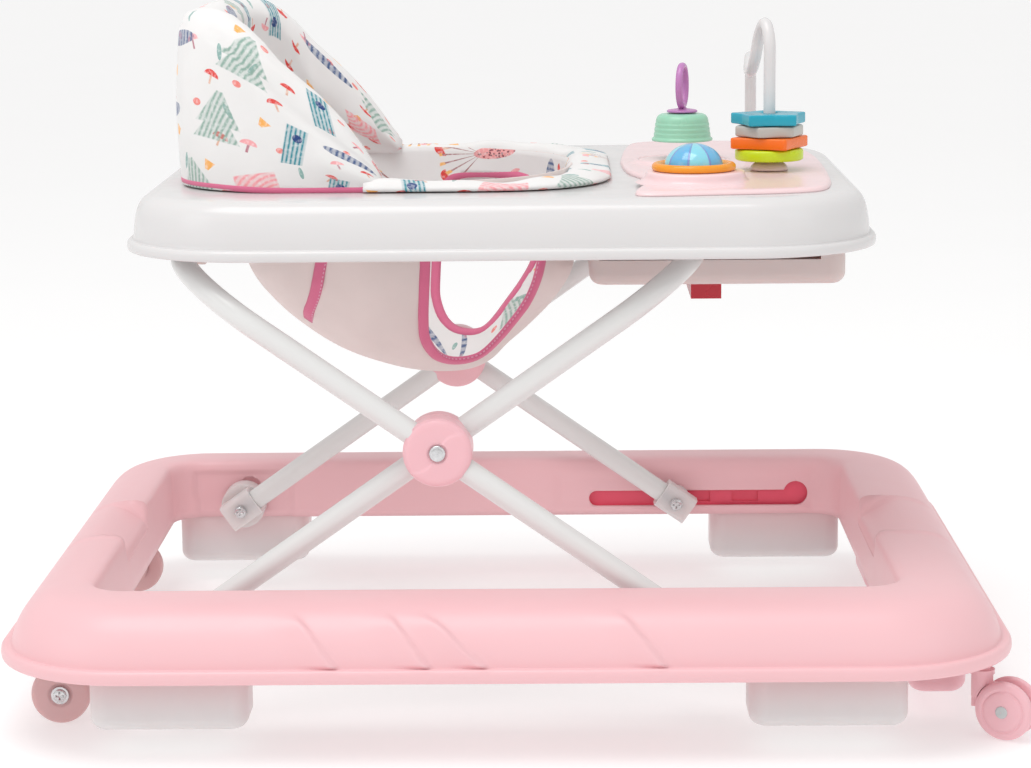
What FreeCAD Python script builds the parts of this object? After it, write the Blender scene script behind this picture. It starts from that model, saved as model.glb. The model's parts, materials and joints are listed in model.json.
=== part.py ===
import FreeCAD, Part
import math
import os
import re
import Sketcher
from FreeCAD import Placement, Rotation, Vector

# Baby walker: a moulded base ring on wheels, a scissor frame of two U-shaped
# tubes, a tray with a cloth seat and a toy panel.
# +X is the way the child faces, +Z is up, z = 0 is the floor, and y = 0 is the
# plane of symmetry. Sizes are in millimetres. "side" nodes exist twice, left
# (+Y) and right (-Y).

SIZES = {
    # base ring
    "ring_rear": -357.75,
    "ring_front": 342.25,
    "ring_half": 298.0,
    "ring_low": 55.8,
    "ring_top": 103.5,
    "ring_corner": 95.0,
    "ring_round": 36.0,
    "ring_lip": 6.0,
    "ring_lip_tall": 9.5,
    "ring_wall": 3.0,
    "well_rear": -290.75,
    "well_front": 262.25,
    "well_half": 217.0,
    "well_corner": 24.0,
    # slots in the ring's inner side walls
    "slot_rear": 55.25,
    "slot_front": 228.0,
    "slot_half": 6.3,
    "keyhole_r": 10.0,
    "keyhole_lift": 3.5,
    # foot blocks
    "foot_low": 15.8,
    "foot_top": 58.5,
    "foot_inner": 220.4,
    "foot_outer": 270.0,
    "foot_rear": -289.25,
    "foot_front": 157.25,
    "foot_long": 108.0,
    "foot_round": 13.0,
    "foot_wall": 2.5,
    "stop_rear": 274.5,
    "stop_front": 315.5,
    "stop_inner": 100.0,
    "stop_outer": 188.5,
    # rear wheels
    "wheel_x": -320.75,
    "wheel_r": 20.9,
    "wheel_inner": 183.0,
    "wheel_outer": 195.5,
    "axle_r": 3.5,
    "running_gap": 0.05,
    # front casters
    "stem_x": 319.25,
    "stem_y": 230.0,
    "stem_r": 5.5,
    "stem_top": 76.0,
    "trail": 18.75,
    "trail_angle": 29.0,
    "caster_r": 20.5,
    "caster_plate": 4.5,
    "caster_wide": 12.6,
    # scissor frame
    "pivot_x": -232.75,
    "pivot_z": 69.2,
    "half_arm": 219.9,
    "arm_angle": 35.06,
    "tube_r": 8.25,
    "tube_wall": 1.2,
    "arm_a_half": 187.0,
    "arm_b_half": 204.5,
    "bend_r": 70.0,
    "cap_end": 13.6,
    "cap_long": 28.0,
    "cap_half": 11.5,
    "cap_thick": 10.0,
    "cap_round": 4.0,
    "tube_end": 5.5,
    "pin_r": 4.0,
    "boss_r": 18.0,
    "stud_r": 5.0,
    "hub_r": 24.0,
    "hub_mid": 196.0,
    "hub_wide": 18.0,
    "rivet_r": 3.0,
    # tray
    "tray_rear": -272.75,
    "tray_front": 254.25,
    "tray_half": 217.5,
    "tray_low": 328.0,
    "tray_top": 368.0,
    "tray_corner": 92.0,
    "tray_round": 24.0,
    "tray_lip": 3.5,
    "tray_lip_tall": 6.5,
    "tray_wall": 3.0,
    "hole_rear": -219.75,
    "hole_front": 44.25,
    "hole_half": 140.0,
    "hole_corner": 85.0,
    # box under the tray's front
    "box_rear": 53.0,
    "box_front": 236.4,
    "box_half": 105.0,
    "box_low": 294.5,
    "box_wall": 2.5,
    "box_round": 12.0,
    "box_slot_rear": 60.0,
    "box_slot_front": 218.0,
    "box_slot_low": 312.8,
    "box_slot_top": 336.0,
    "saddle_inner": 58.0,
    "saddle_outer": 84.0,
    "saddle_half": 11.0,
    # release tab
    "tab_rear": 128.0,
    "tab_front": 150.25,
    "tab_half": 50.0,
    "tab_low": 277.0,
    "tab_travel": 10.0,
    # seat
    "seat_rear": -241.0,
    "seat_half": 158.0,
    "seat_wing": -93.0,
    "seat_top": 494.0,
    "seat_thick": 22.0,
    "slope_a_x": -198.0,
    "slope_b_x": -158.0,
    "slope_b_z": 451.0,
    "slope_c_x": -122.0,
    "slope_c_z": 420.0,
    "slope_d_z": 388.0,
    "collar_front": 70.0,
    "collar_top": 385.0,
    "collar_wide": 28.0,
    "sling_wall": 3.0,
    "leg_x": -23.5,
    "leg_z": 274.0,
    "leg_r": 42.5,
    "crotch_half": 42.0,
    # toys
    "panel_tall": 3.0,
    "panel_rear": 74.0,
    "panel_front": 222.0,
    "panel_half": 185.0,
    "bell_x": 124.3,
    "bell_y": 14.0,
    "bell_low": 382.5,
    "bell_r": 22.6,
    "bell_tall": 24.5,
    "bell_press": 5.0,
    "loop_r": 11.5,
    "loop_wire": 3.2,
    "dome_x": 126.5,
    "dome_y": -124.0,
    "dome_low": 379.0,
    "dome_r": 21.5,
    "dome_tall": 19.0,
    "ring_r": 28.5,
    "hoop_x": 183.0,
    "hoop_near_y": -68.0,
    "hoop_far_y": 58.0,
    "hoop_r": 5.2,
    "hoop_top": 476.0,
    "hoop_dip": 431.0,
    "hoop_hump": 449.0,
    "hoop_bend": 13.0,
}

# the hanging seat's cross-sections from the top down: height, rear, front and half width
BAG = {
    "top": (373.0, -214.0, 42.5, 133.0),
    "hip": (300.0, -201.0, 42.0, 124.0),
    "lap": (262.0, -166.0, 17.0, 104.0),
    "low": (238.0, -131.0, -10.0, 80.0),
    "base": (224.0, -90.0, -24.0, 52.0),
    "floor": (219.0, -66.0, -36.0, 26.0),
}
for stage, numbers in BAG.items():
    for word, number in zip(("high", "rear", "front", "half"), numbers):
        SIZES[f"bag_{stage}_{word}"] = number

os.makedirs("parts", exist_ok=True)
DOC = FreeCAD.newDocument("baby_walker")
SHEET = DOC.addObject("Spreadsheet::Sheet", "Dims")
for row, (alias, number) in enumerate(SIZES.items(), start=1):
    SHEET.set(f"A{row}", alias)
    SHEET.set(f"B{row}", str(number))
    SHEET.setAlias(f"B{row}", alias)
DOC.recompute()

NODES = []
HUB_X = "(pivot_x + half_arm * cos(arm_angle * 1 deg))"
HUB_Z = "(pivot_z + half_arm * sin(arm_angle * 1 deg))"
UPPER_Z = "(pivot_z + 2 * half_arm * sin(arm_angle * 1 deg))"
LOWER_X = "(pivot_x + 2 * half_arm * cos(arm_angle * 1 deg))"


# ---------------------------------------------------------------- helpers

def dims(text):
    """Turns plain size names into references to the spreadsheet's cells."""
    return re.sub(r"[a-z_]+", lambda m: f"Dims.{m[0]}" if m[0] in SIZES else m[0], str(text))


def bind(thing, **expressions):
    """Binds properties of an object to size expressions."""
    for name, text in expressions.items():
        thing.setExpression(name.replace("__", "."), dims(text))
    return thing


def at(thing, x="0", y="0", z="0", axis=None, angle="0"):
    """Places an object by expressions, turned about an axis when one is given."""
    if axis is not None:
        thing.Placement = Placement(Vector(), Rotation(Vector(*axis), 1))
        bind(thing, Placement__Rotation__Angle=f"({angle}) * 1 deg")
    return bind(thing, Placement__Base__x=x, Placement__Base__y=y, Placement__Base__z=z)


def box(name, x, y, z, long, wide, tall):
    """A block from its low corner and its three sizes."""
    block = DOC.addObject("Part::Box", name)
    bind(block, Length=long, Width=wide, Height=tall)
    return at(block, x, y, z)


def rod(name, radius, length, x="0", y="0", z="0", axis=None, angle="0"):
    """A cylinder that starts at the given point and runs along its turned Z axis."""
    cylinder = DOC.addObject("Part::Cylinder", name)
    bind(cylinder, Radius=radius, Height=length)
    return at(cylinder, x, y, z, axis, angle)


def along_y(name, radius, start, length, x="0", z="0"):
    """A cylinder that runs along +Y from y = start."""
    return rod(name, radius, length, x, start, z, axis=(1, 0, 0), angle="-90")


def along_x(name, radius, start, length, y="0", z="0"):
    """A cylinder that runs along +X from x = start."""
    return rod(name, radius, length, start, y, z, axis=(0, 1, 0), angle="90")


def fuse(name, *pieces):
    """Joins pieces into one."""
    joined = DOC.addObject("Part::MultiFuse", name)
    joined.Shapes = list(pieces)
    joined.Refine = True
    return joined


def cut(name, whole, *tools):
    """Takes the tools away from the whole."""
    tool = tools[0] if len(tools) == 1 else fuse(f"{name}_tools", *tools)
    rest = DOC.addObject("Part::Cut", name)
    rest.Base = whole
    rest.Tool = tool
    rest.Refine = True
    return rest


def common(name, first, second):
    """Keeps what two pieces share."""
    shared = DOC.addObject("Part::Common", name)
    shared.Base = first
    shared.Tool = second
    return shared


def mirrored(name, piece):
    """A copy on the other side of the plane y = 0."""
    copy = DOC.addObject("Part::Mirroring", name)
    copy.Source = piece
    copy.Normal = Vector(0, 1, 0)
    return copy


def group(name, *pieces):
    """Separate solids that share one node."""
    bunch = DOC.addObject("Part::Compound", name)
    bunch.Links = list(pieces)
    return bunch


def node(piece, label):
    """Marks a finished sub-part, with the label that names its file."""
    piece.Label = label
    NODES.append(piece)
    return piece


def both_sides(piece, label):
    """Hands in a piece made on the left (+Y) and its mirror image on the right."""
    node(piece, f"{label}_left")
    return node(mirrored(f"{label}_copy", piece), f"{label}_right")


def pair(piece, label):
    """Hands in a piece and its mirror image as one node."""
    return node(group(f"{label}_group", piece, mirrored(f"{label}_copy", piece)), label)


def new_body(name):
    """A PartDesign body."""
    return DOC.addObject("PartDesign::Body", name)


def sketch_on(body, role, name, lift="0"):
    """A sketch on one of the body's own planes, lifted along the plane's normal."""
    sketch = body.newObject("Sketcher::SketchObject", name)
    plane = [item for item in body.Origin.OriginFeatures if item.Role == role][0]
    sketch.AttachmentSupport = [(plane, "")]
    sketch.MapMode = "FlatFace"
    return bind(sketch, AttachmentOffset__Base__z=lift)


def polygon(sketch, corners):
    """A closed outline whose corner coordinates are size expressions."""
    count = len(corners)
    turn = 2 * math.pi / count
    guess = [Vector(50 * math.cos(turn * i), 50 * math.sin(turn * i), 0) for i in range(count)]
    for i in range(count):
        sketch.addGeometry(Part.LineSegment(guess[i], guess[(i + 1) % count]), False)
    for i in range(count):
        sketch.addConstraint(Sketcher.Constraint("Coincident", i, 2, (i + 1) % count, 1))
    for i, (across, up) in enumerate(corners):
        for kind, text, start in (("DistanceX", across, guess[i].x), ("DistanceY", up, guess[i].y)):
            number = sketch.addConstraint(Sketcher.Constraint(kind, -1, 1, i, 1, start))
            sketch.setExpression(f"Constraints[{number}]", dims(text))


def slab(name, corners, low, high):
    """An upright prism between two heights."""
    body = new_body(name)
    sketch = sketch_on(body, "XY_Plane", f"{name}_outline", low)
    polygon(sketch, corners)
    pad = body.newObject("PartDesign::Pad", f"{name}_pad")
    pad.Profile = sketch
    bind(pad, Length=f"({high}) - ({low})")
    body.Tip = pad
    return body


def rectangle(rear, front, half):
    """The corners of a rectangle that is symmetric about y = 0."""
    return [(rear, f"-({half})"), (front, f"-({half})"), (front, half), (rear, half)]


def turned(name, corners):
    """A solid of revolution about Z, from (radius, height) corners."""
    body = new_body(name)
    sketch = sketch_on(body, "XZ_Plane", f"{name}_profile")
    polygon(sketch, corners)
    spin = body.newObject("PartDesign::Revolution", f"{name}_turn")
    spin.Profile = sketch
    spin.ReferenceAxis = (sketch, ["V_Axis"])
    spin.Angle = 360
    body.Tip = spin
    return body


def upright(edge):
    """True for a straight edge that runs along Z."""
    ends = [vertex.Point for vertex in edge.Vertexes]
    return len(ends) == 2 and abs(abs(ends[1].z - ends[0].z) - edge.Length) < 1e-6


def flat_at(height):
    """A test for edges that lie at one height."""
    return lambda edge: edge.BoundBox.ZLength < 1e-6 and abs(edge.BoundBox.ZMin - height) < 1e-6


def rounded(body, radius, wanted):
    """Rounds the edges of a body that pass a test."""
    DOC.recompute()
    base = body.Tip
    names = [f"Edge{i + 1}" for i, edge in enumerate(base.Shape.Edges) if wanted(edge)]
    fillet = body.newObject("PartDesign::Fillet", f"{body.Name}_round")
    fillet.Base = (base, names)
    bind(fillet, Radius=radius)
    body.Tip = fillet
    return body


def highest(body):
    """The height of a body's top."""
    DOC.recompute()
    return body.Tip.Shape.BoundBox.ZMax


def lowest(body):
    """The height of a body's underside."""
    DOC.recompute()
    return body.Tip.Shape.BoundBox.ZMin


def cushion(name, rear, front, half, low, high, corner, edge):
    """A rounded block: upright corners first, then the top's edge."""
    body = slab(name, rectangle(rear, front, half), low, high)
    rounded(body, corner, upright)
    return rounded(body, edge, flat_at(highest(body)))


def moulded_frame(name, part, hole):
    """A hollow moulding, open underneath, around an opening.

    part and hole are the first words of the size names that drive it.
    """
    def inset(amount):
        return (f"{part}_rear + ({amount})", f"{part}_front - ({amount})",
                f"{part}_half - ({amount})")

    def gap(amount):
        return (f"{hole}_rear - ({amount})", f"{hole}_front + ({amount})",
                f"{hole}_half + ({amount})")

    low = f"{part}_low"
    top = f"{part}_top"
    wall = f"{part}_wall"
    lip = slab(f"{name}_lip", rectangle(*inset("0")), low, f"{low} + {part}_lip_tall")
    rounded(lip, f"{part}_corner", upright)
    rounded(lip, "3", flat_at(highest(lip)))
    outer = cushion(f"{name}_outer", *inset(f"{part}_lip"), low, top,
                    f"{part}_corner - {part}_lip", f"{part}_round")
    inner = cushion(f"{name}_inner", *inset(f"{part}_lip + {wall}"), f"{low} - 1",
                    f"{top} - {wall}", f"{part}_corner - {part}_lip - {wall}",
                    f"{part}_round - {wall}")
    skirt = slab(f"{name}_skirt", rectangle(*gap(wall)), f"{low} - 2", f"{top} + 1")
    rounded(skirt, f"{hole}_corner + {wall}", upright)
    opening = slab(f"{name}_opening", rectangle(*gap("0")), f"{low} - 3", f"{top} + 2")
    rounded(opening, f"{hole}_corner", upright)
    hollow = cut(f"{name}_hollow", inner, skirt)
    solid = fuse(f"{name}_solid", lip, outer)
    return cut(f"{name}_cut", solid, hollow, opening)


# ---------------------------------------------------------------- base ring

def make_ring():
    """The pink ring, with a keyhole slot in front and a keyhole behind on each side."""
    ring = moulded_frame("ring", "ring", "well")
    reach = "2 * ring_half"
    start = "-ring_half"
    slot = box("slot", "slot_rear + slot_half", start, "pivot_z - slot_half",
               "slot_front - slot_rear - slot_half", reach, "2 * slot_half")
    slot_end = along_y("slot_end", "slot_half", start, reach, "slot_rear + slot_half", "pivot_z")
    keyhole = along_y("keyhole", "keyhole_r", start, reach, "slot_front", "pivot_z + keyhole_lift")
    rear_hole = along_y("rear_hole", "keyhole_r", start, reach, "pivot_x + 4", "pivot_z + 10")
    tools = fuse("slot_tools", slot, slot_end, keyhole, rear_hole)
    middle = box("slot_reach", "ring_rear", "-well_half - ring_wall - 2", "ring_low",
                 "ring_front - ring_rear", "2 * (well_half + ring_wall + 2)", "60")
    node(cut("ring_slotted", ring, common("slot_cut", tools, middle)), "base_ring")


def make_feet():
    """Hollow translucent blocks that catch a step's edge."""
    def block(name, rear, front, inner, outer):
        def corners(wall):
            return [(f"{rear} + {wall}", f"{inner} + {wall}"),
                    (f"{front} - {wall}", f"{inner} + {wall}"),
                    (f"{front} - {wall}", f"{outer} - {wall}"),
                    (f"{rear} + {wall}", f"{outer} - {wall}")]

        shell = slab(name, corners("0"), "foot_low", "foot_top")
        rounded(shell, "foot_round", upright)
        rounded(shell, "foot_round - 4", flat_at(lowest(shell)))
        inside = slab(f"{name}_inside", corners("foot_wall"), "foot_low + foot_wall", "foot_top + 1")
        rounded(inside, "foot_round - foot_wall", upright)
        rounded(inside, "foot_round - 4 - foot_wall", flat_at(lowest(inside)))
        return cut(f"{name}_shell", shell, inside)

    for place in ("rear", "front"):
        start = f"foot_{place}"
        made = block(f"foot_{place}", start, f"{start} + foot_long", "foot_inner", "foot_outer")
        both_sides(made, f"{place}_foot")
    both_sides(block("stop", "stop_rear", "stop_front", "stop_inner", "stop_outer"), "front_stop")


def make_rear_wheels():
    """Two fixed wheels, each on a screw through a bracket under the rear rail."""
    tyre = turned("rear_tyre", [
        ("axle_r + running_gap", "0"),
        ("wheel_r - 2.4", "0"),
        ("wheel_r", "2"),
        ("wheel_r", "wheel_outer - wheel_inner - 3"),
        ("wheel_r - 3", "wheel_outer - wheel_inner"),
        ("11", "wheel_outer - wheel_inner"),
        ("9.5", "wheel_outer - wheel_inner - 1.6"),
        ("axle_r + running_gap", "wheel_outer - wheel_inner - 1.6"),
    ])
    at(tyre, "wheel_x", "wheel_inner", "wheel_r", axis=(1, 0, 0), angle="-90")
    both_sides(tyre, "rear_wheel")

    leg = box("bracket_leg", "wheel_x - 9", "wheel_inner - 12", "wheel_r", "18", "11.4", "44")
    eye = along_y("bracket_eye", "9", "wheel_inner - 12", "11.4", "wheel_x", "wheel_r")
    bore = along_y("bracket_bore", "axle_r", "wheel_inner - 20", "30", "wheel_x", "wheel_r")
    both_sides(cut("bracket", fuse("bracket_solid", leg, eye), bore), "rear_bracket")

    shank = along_y("screw_shank", "axle_r", "wheel_inner - 12",
                    "wheel_outer - wheel_inner + 10.6", "wheel_x", "wheel_r")
    head = along_y("screw_head", "6.2", "wheel_outer - 1.4", "2.4", "wheel_x", "wheel_r")
    pair(fuse("rear_screw", shank, head), "rear_axle_screws")


def make_casters():
    """Swivelling twin-disc casters: sleeve, fork, two discs on an axle, and caps."""
    sleeve = cut("sleeve_bored",
                 rod("sleeve", "stem_r + 3", "stem_top - ring_low - 4", z="ring_low + 1"),
                 rod("sleeve_bore", "stem_r + running_gap", "stem_top", z="ring_low - 1"))
    pair(at(sleeve, "stem_x", "stem_y"), "caster_sleeves")

    stem = rod("stem", "stem_r", "stem_top - 32", z="32")
    washer = rod("stem_washer", "8.5", "3.2", z="43")
    boss = rod("stem_boss", "7.5", "16", z="27")
    plate = along_y("fork_plate", "caster_r - 5", "-caster_plate", "2 * caster_plate",
                    "trail", "caster_r")
    web = box("fork_web", "-6", "-caster_plate", "20", "trail + 6", "2 * caster_plate", "17")
    axle_hole = along_y("fork_bore", "2 + running_gap", "-20", "40", "trail", "caster_r")
    beside = along_y("disc_room", "caster_r + 0.5", "caster_plate", "20", "trail", "caster_r")
    fork = cut("fork", fuse("fork_solid", stem, washer, boss, plate, web), axle_hole,
               beside, mirrored("disc_room_copy", beside))

    disc = turned("caster_disc", [
        ("2", "0"),
        ("caster_r - 1.5", "0"),
        ("caster_r", "1.5"),
        ("caster_r", "caster_wide - caster_plate - 4.3"),
        ("caster_r - 4", "caster_wide - caster_plate - 0.3"),
        ("8.6", "caster_wide - caster_plate - 0.3"),
        ("8.6", "caster_wide - caster_plate - 2.3"),
        ("2", "caster_wide - caster_plate - 2.3"),
    ])
    far = at(disc, "trail", "caster_plate + 0.3", "caster_r", axis=(1, 0, 0), angle="-90")
    discs = group("caster_discs", far, mirrored("caster_disc_copy", far))
    pin = group("caster_pins", along_y("caster_pin", "2", "-caster_wide + 2.4",
                                       "2 * (caster_wide - 2.4)", "trail", "caster_r"))
    cap = along_y("caster_cap", "8.4", "caster_wide - 2", "3", "trail", "caster_r")
    caps = group("caster_caps", cap, mirrored("caster_cap_copy", cap))
    for piece, label in ((fork, "caster_fork"), (discs, "caster_wheel"),
                         (pin, "caster_axle"), (caps, "caster_cap")):
        at(piece, "stem_x", "stem_y", "0", axis=(0, 0, 1), angle="trail_angle")
        both_sides(piece, label)


def make_base_fittings():
    """Rear pivot bosses with their pins and screws, and the red latch rails."""
    boss = along_y("boss", "boss_r", "arm_a_half + cap_thick + 0.4",
                   "well_half - arm_a_half - cap_thick - 0.4", "pivot_x", "pivot_z")
    pin = along_y("boss_pin", "pin_r", "arm_a_half - cap_thick - 0.4", "2 * cap_thick + 4",
                  "pivot_x", "pivot_z")
    hole = along_y("boss_hole", "1.8", "arm_a_half - cap_thick - 2", "20", "pivot_x", "pivot_z")
    both_sides(cut("pivot_boss", fuse("boss_solid", boss, pin), hole), "pivot_boss")

    head = along_y("pivot_head", "5", "arm_a_half - cap_thick - 2.4", "2", "pivot_x", "pivot_z")
    shank = along_y("pivot_shank", "1.8", "arm_a_half - cap_thick - 1", "17", "pivot_x", "pivot_z")
    pair(fuse("pivot_screw", head, shank), "pivot_screws")

    rail = box("rail", "slot_rear - 6", "well_half + 7", "pivot_z - 10",
               "slot_front - slot_rear + 22", "4", "24")
    notch = box("rail_notch", "135", "well_half + 6", "pivot_z - 4", "22", "3", "8")
    notch_two = box("rail_notch_two", "175", "well_half + 6", "pivot_z - 4", "22", "3", "8")
    pair(cut("latch_rail", rail, notch, notch_two), "latch_rails")


# ---------------------------------------------------------------- scissor frame

def arm_outline(name, radius, half, tail):
    """One U-shaped run: two legs, two bends and the crossbar, hub at the origin.

    The legs run along X, the bends lie in the XY plane and the crossbar is at
    x = half_arm.
    """
    reach = f"half_arm - bend_r + half_arm - {tail}"
    start = f"{tail} - half_arm"
    pieces = [along_x(f"{name}_leg", radius, start, reach, y=half),
              along_x(f"{name}_other_leg", radius, start, reach, y=f"-{half}"),
              along_y(f"{name}_bar", radius, f"bend_r - {half}", f"2 * ({half} - bend_r)",
                      "half_arm")]
    for side, turn in (("", "0"), ("-", "-90")):
        bend = DOC.addObject("Part::Torus", f"{name}_bend")
        bind(bend, Radius1="bend_r", Radius2=radius)
        bend.Angle3 = 90
        at(bend, "half_arm - bend_r", f"{side}({half} - bend_r)", axis=(0, 0, 1), angle=turn)
        pieces.append(bend)
    return fuse(name, *pieces)


def make_arm(letter, half, angle):
    """A bent tube with its end caps; angle turns it about Y into place."""
    def set_in(piece):
        return at(piece, HUB_X, "0", HUB_Z, axis=(0, 1, 0), angle=angle)

    outer = arm_outline(f"arm_{letter}_outer", "tube_r", half, "tube_end")
    inner = arm_outline(f"arm_{letter}_inner", "tube_r - tube_wall", half, "tube_end - 1")
    hub_hole = along_y(f"arm_{letter}_hub_hole", "rivet_r + running_gap", "-250", "500")
    node(set_in(cut(f"arm_{letter}", outer, inner, hub_hole)), f"tube_{letter}")

    bore_r = "pin_r + running_gap" if letter == "a" else "pin_r"
    shell = new_body(f"cap_{letter}")
    block = shell.newObject("PartDesign::AdditiveBox", f"cap_{letter}_block")
    bind(block, Length="cap_long", Width="2 * cap_thick", Height="2 * cap_half")
    shell.Tip = block
    rounded(shell, "cap_round", lambda edge: edge.BoundBox.XLength > 1)
    at(shell, "-half_arm - cap_end", f"{half} - cap_thick", "-cap_half")
    socket = along_x(f"cap_{letter}_socket", "tube_r", "tube_end - half_arm", "40", y=half)
    bore = along_y(f"cap_{letter}_bore", bore_r, f"{half} - 20", "40", "-half_arm")
    cap = set_in(cut(f"cap_{letter}_cut", shell, socket, bore))
    both_sides(cap, "pivot_cap" if letter == "a" else "slider_cap")
    return set_in


def hub_half(name, inner, half):
    """Half of the round cover where the tubes cross, slotted for its own tube."""
    disc = along_y(f"{name}_disc", "hub_r", inner, "hub_wide - 0.15")
    path = along_x(f"{name}_path", "tube_r", "-50", "100", y=half)
    hole = along_y(f"{name}_hole", "rivet_r + running_gap", "150", "100")
    return cut(name, disc, path, hole)


def make_frame():
    """Both arms of the scissor, the hub covers, the rivets and the slider studs."""
    in_a = make_arm("a", "arm_a_half", "-arm_angle")
    in_b = make_arm("b", "arm_b_half", "arm_angle - 180")
    both_sides(in_a(hub_half("hub_in", "hub_mid - hub_wide", "arm_a_half")), "hub_cover_inner")
    both_sides(in_b(hub_half("hub_out", "hub_mid + 0.15", "arm_b_half")), "hub_cover_outer")

    shank = along_y("rivet_shank", "rivet_r", "hub_mid - hub_wide - 0.5", "2 * hub_wide + 1")
    ends = [along_y("rivet_head", "5.2", "hub_mid + hub_wide", "2"),
            along_y("rivet_tail", "5.2", "hub_mid - hub_wide - 2.5", "2")]
    pair(in_b(fuse("rivet", shank, *ends)), "hub_rivets")

    wall_out = "well_half + ring_wall"
    stud = along_y("stud", "stud_r", "arm_b_half + cap_thick", f"{wall_out} + 3 - arm_b_half - cap_thick",
                   LOWER_X, "pivot_z")
    collar = along_y("stud_collar", "12", "arm_b_half + cap_thick + 0.2", "1.8", LOWER_X, "pivot_z")
    keeper = along_y("stud_keeper", "9", f"{wall_out} + 0.4", "2.4", LOWER_X, "pivot_z")
    both_sides(fuse("slider_stud", stud, collar, keeper), "slider_stud")
    head = along_y("slider_head", "5", "arm_b_half - cap_thick - 1.8", "1.8", LOWER_X, "pivot_z")
    shank = along_y("slider_shank", "pin_r", "arm_b_half - cap_thick", "2 * cap_thick",
                    LOWER_X, "pivot_z")
    pair(fuse("slider_screw", head, shank), "slider_screws")


# ---------------------------------------------------------------- tray

def make_tray():
    """The white tray, the box under its front, the saddles and the release tab."""
    shell = node(moulded_frame("tray", "tray", "hole"), "tray_shell")

    def tub(name, wall, low):
        body = slab(name, rectangle(f"box_rear + {wall}", f"box_front - {wall}",
                                    f"box_half - {wall}"), low, "tray_top - tray_wall")
        rounded(body, f"box_round - {wall}", upright)
        return rounded(body, f"box_round - 4 - {wall}", flat_at(lowest(body)))

    slot = box("box_slot", "box_slot_rear", "-box_half - 1", "box_slot_low",
               "box_slot_front - box_slot_rear", "2 * box_half + 2", "box_slot_top - box_slot_low")
    tab_gap = box("tab_gap", "tab_rear - tab_travel + 1", "-tab_half + 11", "box_low - 1",
                  "tab_front - tab_rear + tab_travel - 2", "2 * tab_half - 22", "box_wall + 2")
    node(cut("box_shell", tub("box_outer", "0", "box_low"),
             tub("box_inner", "box_wall", "box_low + box_wall"), slot, tab_gap, shell), "tray_box")

    saddle = box("saddle", "pivot_x - saddle_half - 2", "saddle_inner", f"{UPPER_Z} - 12",
                 "2 * saddle_half", "saddle_outer - saddle_inner",
                 f"tray_top - tray_wall - {UPPER_Z} + 12")
    seat = along_y("saddle_bore", "tube_r + running_gap", "0", "200", "pivot_x", UPPER_Z)
    pair(cut("saddle_cut", saddle, seat), "tube_saddles")

    grip = box("tab_grip", "tab_rear", "-tab_half", "tab_low", "tab_front - tab_rear",
               "2 * tab_half", "box_low - tab_low - 0.4")
    neck = box("tab_neck", "tab_rear + 3", "-tab_half + 13", "tab_low + 10",
               "tab_front - tab_rear - 6", "2 * tab_half - 26", "box_low + box_wall - tab_low - 9.4")
    keeper = box("tab_keeper", "tab_rear - 2", "-tab_half + 6", "box_low + box_wall + 0.4",
                 "tab_front - tab_rear + 4", "2 * tab_half - 12", "3")
    tab = fuse("tab", grip, neck, keeper)
    node(tab, "release_tab")
    housing = box("tab_housing", "tab_rear - tab_travel - 12", "-tab_half", "tab_low + 8",
                  "11", "2 * tab_half", "box_low - tab_low - 8")
    node(housing, "tab_housing")


# ---------------------------------------------------------------- seat

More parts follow.
